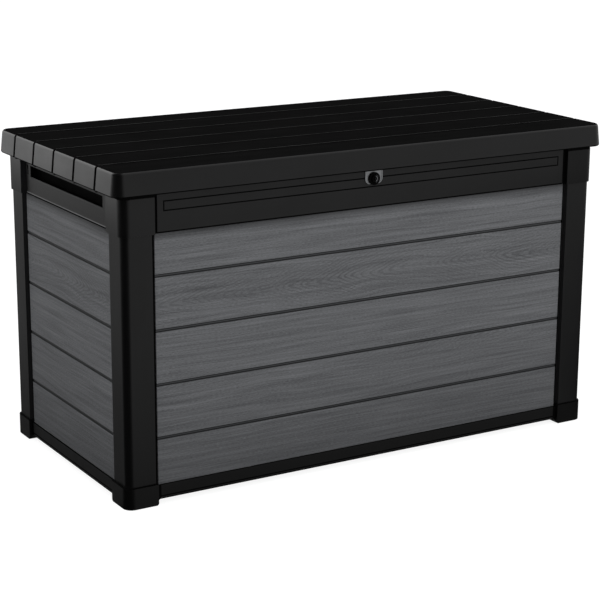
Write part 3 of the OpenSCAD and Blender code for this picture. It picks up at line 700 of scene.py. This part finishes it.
def buildWall(name, node, degrees, half, face, material):
    low, top, grooveHalf = panelLow.z, postHigh.z, plankLook.grooveHeight / 2
    end = half - plankLook.gap
    back = face + plankLook.thickness
    wall = addBlock(name, (-end, face, low), (end, back, top))
    start, pitch = top + plankLook.topHidden, plankLook.pitch
    seams = [start - i * pitch for i in range(1, plankLook.count)]
    cutAt(wall, 2, [seam + side * grooveHalf for seam in seams for side in (-1, 1)])
    pickFaces(wall, lambda m, n: n.y < -square and any(abs(m.z - seam) < grooveHalf for seam in seams))
    sinkPicked(plankLook.grooveDepth)
    pickEdges(wall, lambda a, b: max(a.y, b.y) < face + hair and abs(a.z - b.z) < hair
              and any(abs(abs(a.z - seam) - grooveHalf) < slack for seam in seams))
    bevelPicked(plankLook.softEdge, 3)
    pickEdges(wall, lambda a, b: max(a.y, b.y) < face + hair and a.x * b.x > 0
              and all(abs(abs(p.x) - end) < hair for p in (a, b)))
    bevelPicked(plankLook.endEdge, 2)
    # the frame that the planks clip on shows in the gaps beside them: dull black as painted shade next
    # to the planks, lighter grey as painted light further out
    behind, rise = back + plankLook.tongue, plankLook.tongueRise
    strips = []
    for side in (-1, 1):
        near, far = stripSpan(side, end, half)
        strips.append(addBlock("strip", (near, back, low), (far, behind, top + rise)))
        cutAt(strips[-1], 0, [side * (end + plankLook.blackLine)])
    span = end - plankLook.stripIn
    strips.append(addBlock("strip", (-span, back, top - rise), (span, behind, top + rise)))
    for strip in strips:
        addFinishes(strip, "gapBlack")
    addFinishes(wall, material)
    joinBlocks(wall, strips)
    addFinishes(wall, "recessGrey")
    # painted light: the lighter grey beyond the black line
    paintFaces(wall, 2, lambda m, n: abs(m.x) > end + plankLook.blackLine)
    turnPiece(wall, degrees)
    finishPiece(wall, "case", [node], finishLook.panelSmooth)


woodLow = (panelHigh.z - plankLook.panelHidden + plankLook.topHidden
           - plankLook.count * plankLook.pitch)
makeWood("plankGreyLong", 0, woodLow, plankLook.pitch, railLow.z)
makeWood("plankGreyShort", 1, woodLow, plankLook.pitch, railLow.z)
buildSides(buildWall, "wall.", "panel_", (postLow.x, panelLow.y, "plankGreyLong"),
           (postLow.y, -sidePanelHigh.x, "plankGreyShort"))


railLook = Settings(
    framed=("rail.front",),
    wall=0.004,
    gap=0.0095,
    depth=0.018,
    lip=0.026,
    lipThickness=0.003,
    shelf=0.0045,
    lineWidth=0.0028,
    lineDepth=0.0014,
    lineHalf=0.589,
    lineHeight=0.0257,
    lineDrop=0.0628,
    lineMargin=(0.001, 0.01),
    lineFrom=0.0003,
    handleHalf=0.221,
    handleHeight=0.029,
    handleDrop=0.0645,
    pocketDepth=0.0165,
    pocketMargin=0.004,
    pocketWall=0.0015,
    slitWidth=0.005,
    slitOff=0.017,
    slitRise=0.004,
    lowerEdge=0.0042,
    lowerEdgeIn=0.0018,
    bead=0.0030,
    paintDepth=0.003,
    softEdge=0.0008,
    softAngle=60,
    # the hidden tongues behind the rail's ends: thickness, lift and drop from the rim
    tongue=(0.003, 0.001, 0.008),
)


def lineFrame(rail, rim, frontOnly):
    # a sunken line that runs round the front as a long frame
    half, line, tall = railLook.lineHalf, railLook.lineWidth, railLook.lineHeight / 2
    height = rim - railLook.lineDrop
    for axis, middle, reach in ((0, 0, half), (2, height, tall)):
        cuts = [middle + side * (reach - k) for side in (-1, 1) for k in (0, line)]
        cutAt(rail, axis, cuts, frontOnly)

    def onLine(m, n):
        outX, outZ = abs(m.x) - half, abs(m.z - height) - tall
        return frontOnly(m, n) and outX < 0 and outZ < 0 and (outX > -line or outZ > -line)
    pickFaces(rail, onLine)
    sinkPicked(railLook.lineDepth)


def openSlots(rail, face, rim, frontOnly):
    # a long hand slot with a narrow slit beside each end, cut through the wall
    height, inside = rim - railLook.handleDrop, face + railLook.wall
    tall, long = railLook.handleHeight / 2, railLook.handleHalf
    places = [(-long, long, height - tall, height + tall)]
    for side in (-1, 1):
        middle, half = side * (long + railLook.slitOff), railLook.slitWidth / 2
        low = height - tall + railLook.slitRise
        places.append((middle - half, middle + half, low, height + tall))
    for side in (frontOnly, lambda m, n: n.y > square and abs(m.y - inside) < slack):
        cutAt(rail, 0, sorted({v for place in places for v in place[:2]}), side)
        cutAt(rail, 2, sorted({v for place in places for v in place[2:]}), side)
    for x0, x1, z0, z1 in places:
        pickFaces(rail, lambda m, n: abs(n.y) > square and m.y < inside + slack
                  and x0 < m.x < x1 and z0 < m.z < z1)
        deletePicked()
        pickOpenEdges(rail, lambda p: x0 - hair < p.x < x1 + hair and z0 - hair < p.z < z1 + hair
                      and p.y < inside + slack)
        bpy.ops.mesh.bridge_edge_loops()


def addPocket(face, rim):
    # a pocket closes the finger slot from behind; its dull black is painted shade
    margin, back = railLook.pocketMargin, face + railLook.wall
    long = railLook.handleHalf + railLook.slitOff + margin
    tall = railLook.handleHeight / 2 + margin
    middle = rim - railLook.handleDrop
    pocket = addBlock("pocket", (-long, back, middle - tall),
                      (long, back + railLook.pocketDepth, middle + tall))
    pickFaces(pocket, lambda m, n: n.y < -square)
    deletePicked()
    thicken(pocket, railLook.pocketWall)
    return pocket


def buildRail(name, node, degrees, half, face, recess, slotted):
    framed = name in railLook.framed
    low, rim, wall, lip = railLow.z, railHigh.z, railLook.wall, railLook.lip
    end = half - railLook.gap
    lipFront = face + railLook.depth - recess - railLook.lipThickness
    rail = addBlock(name, (-end, face, low), (end, face + wall, rim))
    cutAt(rail, 2, [rim - wall, low + wall], lambda m, n: n.y > square)
    # top, turned-down lip with its ends, and a shelf along the bottom
    pickFaces(rail, lambda m, n: n.y > square and m.z > rim - wall)
    extrudePicked((0, lipFront - face - wall, 0))
    extrudePicked((0, railLook.lipThickness, 0))
    pickFaces(rail, lambda m, n: n.z < -square and m.y > lipFront)
    extrudePicked((0, 0, wall - lip))
    for side in (1, -1):
        pickFaces(rail, lambda m, n: side * n.x > square and m.z > rim - lip and m.y > face + wall)
        extrudePicked((side * railLook.gap, 0, 0))
    pickFaces(rail, lambda m, n: n.y > square and m.z < low + wall)
    extrudePicked((0, railLook.shelf, 0))
    frontOnly = lambda m, n: n.y < -square and m.y < face + slack
    if framed:
        lineFrame(rail, rim, frontOnly)
    if slotted:
        openSlots(rail, face, rim, frontOnly)
    # the lower edge draws in and takes a painted shade line; on the short rails a bead above it takes
    # a painted highlight
    beadLow = low + railLook.lowerEdge
    beadHigh = beadLow + railLook.bead if slotted else beadLow
    cutAt(rail, 2, sorted({beadLow, beadHigh}), frontOnly)
    pickPoints(rail, lambda p: p.z < low + hair and p.y < face + hair)
    movePicked((0, railLook.lowerEdgeIn, 0))
    softenEdges(rail, railLook.softEdge, 2, railLook.softAngle)
    thickness, lift, drop = railLook.tongue
    extras = []
    for side in (-1, 1):
        near, far = stripSpan(side, end, half)
        extras.append(addBlock("tongue", (near, face + wall, low + lift),
                               (far, face + wall + thickness, rim - drop)))
    if slotted:
        extras.append(addPocket(face, rim))
    # painted shade: the tongues and the pocket take the dull black
    for extra in extras:
        addFinishes(extra, "gapBlack")
    addFinishes(rail, "railBlack")
    joinBlocks(rail, extras)
    addFinishes(rail, "railBead", "recessGrey")
    # painted light: the tongue ends beside the short rails take the lighter grey
    if slotted:
        paintFaces(rail, 3, lambda m, n: abs(m.x) > end + slack and m.z < rim - lip
                   and m.y > face + wall - slack)
    # painted shade on the drawn-in lower edge, painted highlight on the bead above it
    lowFront = lambda m, n: n.y < -tilted and m.y < face + railLook.paintDepth
    paintFaces(rail, 1, lambda m, n: lowFront(m, n) and m.z < beadLow)
    paintFaces(rail, 2, lambda m, n: lowFront(m, n) and beadLow < m.z < beadHigh)
    # painted shade in the sunken frame line
    if framed:
        beside, above = railLook.lineMargin
        paintFaces(rail, 1, lambda m, n: low + above < m.z < rim - above
                   and abs(m.x) < railLook.lineHalf + beside
                   and railLook.lineFrom < m.y - face < railLook.lineDepth + slack)
    turnPiece(rail, degrees)
    finishPiece(rail, "case", [node], finishLook.panelSmooth)


longRecess = postHigh.y + railLow.y
sideRecess = postHigh.x - sideRailHigh.x
buildSides(buildRail, "rail.", "rail_", (capLow.x, railLow.y, longRecess, False),
           (capLow.y, -sideRailHigh.x, sideRecess, True))


baseLook = Settings(
    wall=0.004,
    ledgeReach=0.027,
    ledgeTop=0.030,
    topReach=0.015,
    lineHeight=0.0026,
    endGap=0.0028,
    lineAbove=0.0065,
    lineDepth=0.001,
    lineFrom=0.0002,
    softEdge=0.0008,
    softAngle=60,
)


def buildBase(name, node, degrees, half, face, footStart):
    low, top, wall = baseLow.z, baseHigh.z, baseLook.wall
    ledge = baseLook.ledgeTop
    rail = addBlock(name, (-half, face, low), (half, face + wall, top))
    cutAt(rail, 2, [top - wall, ledge, ledge - wall, low + wall], lambda m, n: n.y > square)
    # top, the floor's ledge and bottom, as in a lying letter E
    for z0, z1, reach in ((top - wall, top, baseLook.topReach),
                          (ledge - wall, ledge, baseLook.ledgeReach),
                          (low, low + wall, baseLook.topReach - wall)):
        pickFaces(rail, lambda m, n: n.y > square and z0 < m.z < z1 and m.y < face + wall + slack)
        extrudePicked((0, reach - wall, 0))
    lineLow = low + baseLook.lineAbove
    lineHigh = lineLow + baseLook.lineHeight
    cutAt(rail, 2, [lineLow, lineHigh], lambda m, n: n.y < -square)
    pickFaces(rail, lambda m, n: n.y < -square and lineLow < m.z < lineHigh)
    sinkPicked(baseLook.lineDepth)
    shown = footStart - baseLook.endGap
    cutAt(rail, 0, [-shown, shown], lambda m, n: n.y < -square and m.y < face + slack)
    softenEdges(rail, baseLook.softEdge, 2, baseLook.softAngle)
    # painted shade: the dull black on the top faces, the ends beside the feet and the sunken line
    addFinishes(rail, "baseBlack", "gapBlack")
    paintFaces(rail, 1, lambda m, n: m.y < face + wall - slack and (
        n.z > tilted or abs(m.x) > shown
        or (m.y > face + baseLook.lineFrom and lineLow - hair < m.z < lineHigh + hair)))
    turnPiece(rail, degrees)
    finishPiece(rail, "case", [node], finishLook.panelSmooth)


buildSides(buildBase, "base.", "base_rail_", (baseHigh.x, baseLow.y, footLow.x),
           (sideBaseHigh.y, -sideBaseHigh.x, footLow.y))


lidLook = Settings(
    cornerRadius=0.028,
    cornerSteps=10,
    draft=0.006,
    topEdge=0.008,
    topEdgeSteps=6,
    topPaint=0.006,
    slats=6,
    slatPitch=0.124,
    grooveWidth=0.0085,
    grooveDepth=0.0024,
    grooveDark=0.0012,
    slatEdge=0.0018,
    sharpEdge=50,
    wall=0.004,
    lip=0.0032,
    lipIn=0.0022,
    # how much a face looks up: the top, the grooves' lit edges, the lip
    topFacing=0.75,
    lineFacing=0.97,
    lipFacing=-0.2,
)


def buildLid():
    start = lidLow.z + lidLook.lip
    lid = addBlock("lid.top", lidLow, (lidHigh.x, lidHigh.y, start))
    pickEdges(lid, lambda a, b: abs(a.z - b.z) > slack)
    bevelPicked(lidLook.cornerRadius, lidLook.cornerSteps)
    pickFaces(lid, lambda m, n: n.z > square)
    insetPicked(lidLook.draft)
    movePicked((0, 0, lidHigh.z - start))
    pickEdges(lid, lambda a, b: min(a.z, b.z) > lidHigh.z - slack)
    bevelPicked(lidLook.topEdge, lidLook.topEdgeSteps)
    pickFaces(lid, lambda m, n: n.z < -square)
    deletePicked()
    # the skirt's lower edge draws in
    pickPoints(lid, lambda p: p.z < lidLow.z + hair)
    inwards = [(high - lidLook.lipIn) / high for high in (lidHigh.x, lidHigh.y)]
    bpy.ops.transform.resize(value=(*inwards, 1), center_override=(0, 0, 0))
    half = lidLook.grooveWidth / 2
    grooves = [(i - lidLook.slats / 2) * lidLook.slatPitch for i in range(1, lidLook.slats)]
    inGroove = lambda m, margin=0: any(abs(m.y - groove) < half + margin for groove in grooves)
    cutAt(lid, 1, [groove + side * half for groove in grooves for side in (-1, 1)])
    pickFaces(lid, lambda m, n: inGroove(m))
    sinkPicked(lidLook.grooveDepth)
    pickFaces(lid, lambda m, n: m.z < lidLow.z + hair)
    deletePicked()

    def slatEdge(edge):
        a, b = (point.co for point in edge.verts)
        onBorder = any(abs(abs(a.y - groove) - half) < slack for groove in grooves)
        return (onBorder and abs(a.y - b.y) < hair and len(edge.link_faces) == 2
                and edge.calc_face_angle_signed(0) > math.radians(lidLook.sharpEdge))
    pickParts(lid, "EDGE", "edges", slatEdge)
    bevelPicked(lidLook.slatEdge, 3)
    thicken(lid, lidLook.wall)
    addFinishes(lid, "lidBlack", "lidTopBlack", "gapBlack", "lidLineBlack")
    flatEnd = lidHigh.x - lidLook.draft - lidLook.topEdge
    topStart = lidHigh.z - lidLook.topPaint
    up = lidLook.topFacing
    paintFaces(lid, 1, lambda m, n: n.z > up and m.z > topStart)
    paintFaces(lid, 3, lambda m, n: n.z < lidLook.lineFacing and m.z > topStart
               and abs(m.x) < flatEnd and inGroove(m, lidLook.slatEdge))
    # painted shade on the drawn-in lip and in the skirt's grooves
    paintFaces(lid, 2, lambda m, n: n.z < lidLook.lipFacing and m.z < start)
    paintFaces(lid, 2, lambda m, n: n.z < up and inGroove(m, lidLook.grooveDark))
    finishPiece(lid, "lid", ["lid_shell"])


buildLid()


softLook = Settings(edge=0.0006, edgeSteps=2, edgeAngle=35, flatAngle=1, smooth=40)


def softCopy(node, material, body):
    # a copy of the frame's shape, merged and with softened edges
    name = node.replace("_", ".")
    piece = bpy.data.objects.new(name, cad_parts[node].data.copy())
    bpy.context.scene.collection.objects.link(piece)
    editMesh(piece, "VERT")
    bpy.ops.mesh.select_all(action="SELECT")
    bpy.ops.mesh.remove_doubles(threshold=hair)
    bpy.ops.mesh.dissolve_limited(angle_limit=math.radians(softLook.flatAngle))
    bpy.ops.object.mode_set(mode="OBJECT")
    softenEdges(piece, softLook.edge, softLook.edgeSteps, softLook.edgeAngle)
    piece.data.materials.clear()
    addFinishes(piece, material)
    finishPiece(piece, body, [node], softLook.smooth)


for kind, body, places in (("hinge_bracket", "case", ("left", "middle", "right")),
                           ("hinge_leaf", "lid", ("left", "middle", "right")),
                           ("strut_bracket", "case", ("left", "right")),
                           ("strut_hanger", "lid", ("left", "right"))):
    for place in places:
        softCopy(kind + "_" + place, "steelDark", body)
softCopy("lid_strike", "steelZinc", "lid")

lockLook = Settings(
    sides=64,
    smooth=40,
    softAngle=50,
    bezelEdge=0.0012,
    bezelFacing=0.95,
    bezelRing=0.0032,
    ringDepth=0.0022,
    ringMargin=0.0015,
    innerRing=0.0020,
    housingEdge=0.0003,
    hole=0.0083,
    tube=0.011,
    plateCorner=0.014,
    plateSteps=12,
    plateRim=0.0028,
    plateDepth=0.0007,
    plateEdge=0.0005,
    plateTrim=(0.002, 0.0045),
    keyWidth=0.002,
    keyHeight=0.009,
    keyDepth=0.004,
    keyPaint=0.006,
    barrelStep=0.0014,
    barrelSink=0.0004,
    frontDepth=0.001,
    barrelEdge=0.00025,
    # painted highlight: the metal shows only on the side that this share of the radius cuts off, as a
    # painted crescent of light
    shinyFrom=0.35,
)
plateLow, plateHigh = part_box("lock_plate")
housingLow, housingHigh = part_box("lock_housing")
barrelLow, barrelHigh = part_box("lock_barrel")
lockZ = (barrelLow.z + barrelHigh.z) / 2


def addDrum(name, radius, front, back):
    # a drum that lies along Y
    clearSelection()
    bpy.ops.mesh.primitive_cylinder_add(
        vertices=lockLook.sides, radius=radius, depth=back - front,
        location=(0, (front + back) / 2, lockZ), rotation=(math.pi / 2, 0, 0))
    return newPiece(name)


def fromAxis(middle):
    return math.hypot(middle.x, middle.z - lockZ)


def inPaintedGlint(middle):
    return middle.x > lockLook.shinyFrom * fromAxis(middle)


def buildHousing():
    radius, hole, tube = housingHigh.x, lockLook.hole, lockLook.tube
    edge, ring, step = lockLook.bezelEdge, lockLook.bezelRing, lockLook.innerRing
    housing = addDrum("lock.housing", radius, housingLow.y, plateLow.y)
    pickEdges(housing, lambda a, b: max(a.y, b.y) < housingLow.y + hair)
    bevelPicked(edge, 4)
    pickFaces(housing, lambda m, n: n.y < -exact)
    insetPicked(ring)
    insetPicked(step, -lockLook.ringDepth)
    insetPicked(radius - edge - ring - step - hole)
    deletePicked()
    pickFaces(housing, lambda m, n: n.y > exact)
    insetPicked(radius - tube)
    extrudePicked((0, housingHigh.y - plateLow.y, 0))
    insetPicked(tube - hole)
    deletePicked()
    pickOpenEdges(housing)
    bpy.ops.mesh.bridge_edge_loops()
    faceOutwards()
    softenEdges(housing, lockLook.housingEdge, 2, lockLook.softAngle)
    addFinishes(housing, "lockBlack", "lockMetal")
    reach = radius - edge - lockLook.ringMargin
    # painted highlight: metal on the right-hand part of the ring only
    paintFaces(housing, 1, lambda m, n: -lockLook.bezelFacing < n.y < -tilted
               and m.y < plateLow.y and inPaintedGlint(m) and fromAxis(m) < reach)
    finishPiece(housing, "case", ["lock_housing"], lockLook.smooth)


def buildBarrel():
    wide, tall, step = lockLook.keyWidth / 2, lockLook.keyHeight / 2, lockLook.barrelStep
    barrel = addDrum("lock.barrel", barrelHigh.x, barrelLow.y, barrelHigh.y)
    pickFaces(barrel, lambda m, n: n.y < -exact)
    insetPicked(step)
    extrudePicked((0, lockLook.barrelSink, 0))
    frontOnly = lambda m, n: n.y < -exact and m.y < barrelLow.y + lockLook.frontDepth
    cutAt(barrel, 0, [-wide, wide], frontOnly)
    cutAt(barrel, 2, [lockZ - tall, lockZ + tall], frontOnly)
    pickFaces(barrel, lambda m, n: frontOnly(m, n) and abs(m.x) < wide and abs(m.z - lockZ) < tall)
    sinkPicked(lockLook.keyDepth)
    softenEdges(barrel, lockLook.barrelEdge, 2, lockLook.softAngle)
    addFinishes(barrel, "lockMetal", "gapBlack", "lockBlack")
    # painted highlight: the barrel is black except on its right-hand side
    paintFaces(barrel, 2, lambda m, n: not inPaintedGlint(m) or (
        n.y < -lockLook.bezelFacing and fromAxis(m) < barrelHigh.x - step))
    # painted shade: the key slot takes the dull black
    paintFaces(barrel, 1, lambda m, n: abs(m.x) < wide + hair and abs(m.z - lockZ) < tall + hair
               and m.y < barrelLow.y + lockLook.keyPaint)
    finishPiece(barrel, "lock", ["lock_barrel"], lockLook.smooth)


def buildPlate():
    side, foot = lockLook.plateTrim
    plate = addBlock("lock.plate", (plateLow.x + side, plateLow.y, plateLow.z + foot),
                     (plateHigh.x - side, plateHigh.y, plateHigh.z))
    pickEdges(plate, lambda a, b: abs(a.y - b.y) > slack
              and max(a.z, b.z) < plateLow.z + foot + slack)
    bevelPicked(lockLook.plateCorner, lockLook.plateSteps)
    pickFaces(plate, lambda m, n: n.y < -square)
    insetPicked(lockLook.plateRim)
    sinkPicked(lockLook.plateDepth)
    softenEdges(plate, lockLook.plateEdge, 3, lockLook.softAngle)
    addFinishes(plate, "lockGrey")
    finishPiece(plate, "case", ["lock_plate"], lockLook.smooth)


buildHousing()
buildBarrel()
buildPlate()

# these keep the frame's own shape
plainNodes = {
    "innerBlack": ("floor_left", "floor_right", "floor_beam", "lid_liner"),
    "steelZinc": ("lid_bar_front", "lid_bar_rear", "hinge_pins", "hinge_screws_case",
                  "hinge_screws_lid", "strut_screws_case", "strut_screws_lid", "strike_screws",
                  "lock_nut", "lock_cam", "lock_cam_screw"),
    "strutBlack": ("strut_cylinder_left", "strut_cylinder_right"),
    "rodChrome": ("strut_rod_left", "strut_rod_right"),
}
for material, nodes in plainNodes.items():
    for node in nodes:
        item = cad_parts[node]
        item.data.materials.clear()
        addFinishes(item, material)


stageLook = Settings(
    floorSize=60.0,
    floorDrop=0.0005,
    floorColour=(0.25, 0.25, 0.25, 1),
    floorRoughness=0.9,
    floorGlow=0.88,
    bounce=(0.12, 0.75),
    bounceReach=(0.1, 0.8),
    worldLevel=0.86,
    # the flag: which way it stands, from which corner, its edges near and far away
    flagWay=(-0.917, -0.399, 0),
    flagCorner=(0.68, 0.33, 0),
    flagEdge=(0.2, 0.5),
    flagSoft=(2.7, 3.2),
    brightWay=(-0.4, 0.917, 0),
    brightEdge=(0.0, 0.15),
    skyMirror=(0.38, 1.3),
    skyHigh=1.5,
    skyRise=(0.05, 0.6),
    # what the floor mirrors: near, middle, its dip, far, where far begins and where it is reached
    flagSide=(0.17, 0.40, 1.0, 0.46, 3.0, 7.0),
    brightSide=(0.085, 0.20, 0.8, 1.46, 4.3, 6.8),
    nearTo=1.2,
    dipReach=(1.7, 2.7),
    sideShade=0.2,
    sideEdge=(0.46, 0.60),
    sideReach=(2.2, 4.0),
)


def mirrorTone(tree, vector, front, back, soft=0.0):
    # what glossy surfaces see: a flag keeps one side dark, the side behind is the brightest
    flat = addVector(tree, "MULTIPLY", vector, (1, 1, 0))
    way = addVector(tree, "NORMALIZE", flat)
    toFlag, toBright = (addVector(tree, "DOT_PRODUCT", way, other, result="Value")
                        for other in (stageLook.flagWay, stageLook.brightWay))
    tone = rangeOf(tree, toBright, -1, 1, front, back)
    # the flag's edge on the bright side is soft where it is far away
    low, high = stageLook.flagEdge
    bright = rangeOf(tree, toBright, *stageLook.brightEdge)
    high = timesPlus(tree, times(tree, bright, soft), 1.0 - high, high)
    return times(tree, tone, rangeOf(tree, toFlag, low, high, 1.0, 0.0))


def lightPath(tree):
    # whether the camera looks, or a mirroring or clear surface
    path = addNode(tree, "LightPath").outputs
    mirrored = addMath(tree, "MAXIMUM", path["Is Glossy Ray"], path["Is Transmission Ray"])
    return path["Is Camera Ray"], mirrored


def awayFromCase(tree, place):
    # distance along the floor from the case's outline
    parts = splitVector(tree, place)
    off = []
    for part, edge in ((parts[0], lidHigh.x), (parts[1], lidHigh.y)):
        past = addMath(tree, "SUBTRACT", addMath(tree, "ABSOLUTE", part), edge)
        off.append(addMath(tree, "MAXIMUM", past, 0.0))
    squared = times(tree, off[1], off[1])
    return addMath(tree, "SQRT", timesPlus(tree, off[0], off[0], squared))


def floorTone(tree, place, away):
    levels = []
    # painted shadow: the floor mirrors darker close to the case
    for near, middle, dip, far, start, stop in (stageLook.flagSide, stageLook.brightSide):
        close = rangeOf(tree, away, 0, stageLook.nearTo, near, middle)
        dipped = rangeOf(tree, away, *stageLook.dipReach, 1.0, dip)
        close = times(tree, close, dipped)
        distant = rangeOf(tree, away, start, stop, 0.0, far - middle)
        levels.append(addMath(tree, "ADD", close, distant))
    fromCorner = addVector(tree, "ADD", place, stageLook.flagCorner)
    distance = addVector(tree, "LENGTH", fromCorner, result="Value")
    soft = rangeOf(tree, distance, *stageLook.flagSoft)
    tone = mirrorTone(tree, fromCorner, *levels, soft)
    # the floor off the right-hand corner mirrors darker
    beyond = addVector(tree, "ADD", place, (-lidHigh.x, lidHigh.y, 0))
    aside = addVector(tree, "NORMALIZE", beyond)
    toSide = addVector(tree, "DOT_PRODUCT", aside, (1, 0, 0), result="Value")
    sideOnly = times(tree, rangeOf(tree, toSide, *stageLook.sideEdge),
                     rangeOf(tree, away, *stageLook.sideReach, 1.0, 0.0))
    return times(tree, tone, rangeOf(tree, sideOnly, 0, 1, 1.0, stageLook.sideShade))


def buildFloor():
    clearSelection()
    bpy.ops.mesh.primitive_plane_add(size=stageLook.floorSize,
                                     location=(0, 0, -stageLook.floorDrop))
    floor = bpy.context.object
    floor.name = "floor"
    applyPlace()
    tree, shader = newMaterial("floorPale")
    shader.inputs["Base Color"].default_value = stageLook.floorColour
    shader.inputs["Roughness"].default_value = stageLook.floorRoughness
    shader.inputs["Specular IOR Level"].default_value = 0.0
    toCamera, mirrored = lightPath(tree)
    place = placeNodes(tree)
    away = awayFromCase(tree, place)
    tone = floorTone(tree, place, away)
    # painted shade: the floor that bounces light is darker close to the case
    bounceShade = rangeOf(tree, away, *stageLook.bounceReach, *stageLook.bounce)
    grey = addNode(tree, "CombineColor", {0: bounceShade, 1: bounceShade, 2: bounceShade}).outputs[0]
    bounce = addNode(tree, "BsdfDiffuse", {"Color": grey}).outputs[0]
    # the camera sees the floor white except in the shadow, glossy surfaces see the toned floor
    strength = rangeOf(tree, toCamera, 0, 1, tone, stageLook.floorGlow)
    glow = addNode(tree, "Emission", {"Color": (1, 1, 1, 1), "Strength": strength}).outputs[0]
    lit = addNode(tree, "AddShader", {0: shader.outputs[0], 1: glow}).outputs[0]
    shown = addNode(tree, "MixShader", {0: mirrored, 1: bounce, 2: glow}).outputs[0]
    seen = addNode(tree, "MixShader", {0: toCamera, 1: shown, 2: lit}).outputs[0]
    tree.links.new(seen, tree.nodes["Material Output"].inputs["Surface"])
    addFinishes(floor, "floorPale")


def buildWorld():
    world = bpy.data.worlds.new("studio")
    bpy.context.scene.world = world
    world.use_nodes = True
    tree = world.node_tree
    back = tree.nodes["Background"]
    back.inputs["Color"].default_value = (1, 1, 1, 1)
    toCamera, mirrored = lightPath(tree)
    way = addNode(tree, "TexCoord").outputs["Generated"]
    high = splitVector(tree, way)[2]
    tone = times(tree, mirrorTone(tree, way, *stageLook.skyMirror),
                 rangeOf(tree, high, *stageLook.skyRise, 1.0, stageLook.skyHigh))
    level = rangeOf(tree, mirrored, 0, 1, stageLook.worldLevel, tone)
    level = rangeOf(tree, toCamera, 0, 1, level, 1.0)
    tree.links.new(level, back.inputs["Strength"])


# name: place, aim, size, power
lamps = dict(
    lampFront=((3.0, -5.5, 2.2), (0, 0, 0.45), 2.5, 80.0),
    lampLeft=((-5.5, 2.0, 2.0), (0, 0, 0.45), 2.5, 10.0),
    lampTop=((0.0, 0.5, 4.5), (0, 0, 0), 3.0, 60.0),
)


def addLamp(name, place, target, size, power):
    clearSelection()
    aim = (Vector(target) - Vector(place)).to_track_quat("-Z", "Y").to_euler()
    bpy.ops.object.light_add(type="AREA", location=place, rotation=aim)
    lamp = bpy.context.object
    lamp.name = name
    lamp.data.energy = power
    lamp.data.shape = "RECTANGLE"
    lamp.data.size = size
    lamp.data.size_y = size
    lamp.visible_glossy = False


shot = Settings(
    place=(-2.433, -4.055, 1.622),
    azimuth=-30.85,
    elevation=14.97,
    roll=0.276,
    lens=107.83,
    sensor=36.0,
)


def addCamera():
    azimuth, elevation, roll = map(math.radians, (shot.azimuth, shot.elevation, shot.roll))
    forward = Vector((-math.sin(azimuth) * math.cos(elevation),
                      math.cos(azimuth) * math.cos(elevation),
                      -math.sin(elevation)))
    level = forward.cross(Vector((0, 0, 1))).normalized()
    upright = level.cross(forward)
    right = level * math.cos(roll) + upright * math.sin(roll)
    up = upright * math.cos(roll) - level * math.sin(roll)
    turn = Matrix((right, up, -forward)).transposed()
    clearSelection()
    bpy.ops.object.camera_add(location=shot.place, rotation=turn.to_euler())
    camera = bpy.context.object
    camera.data.lens = shot.lens
    camera.data.sensor_width = shot.sensor
    bpy.context.scene.camera = camera


buildFloor()
buildWorld()
for name, settings in lamps.items():
    addLamp(name, *settings)
addCamera()
bpy.context.scene.view_settings.view_transform = "Standard"
print("pieces and stage ready")
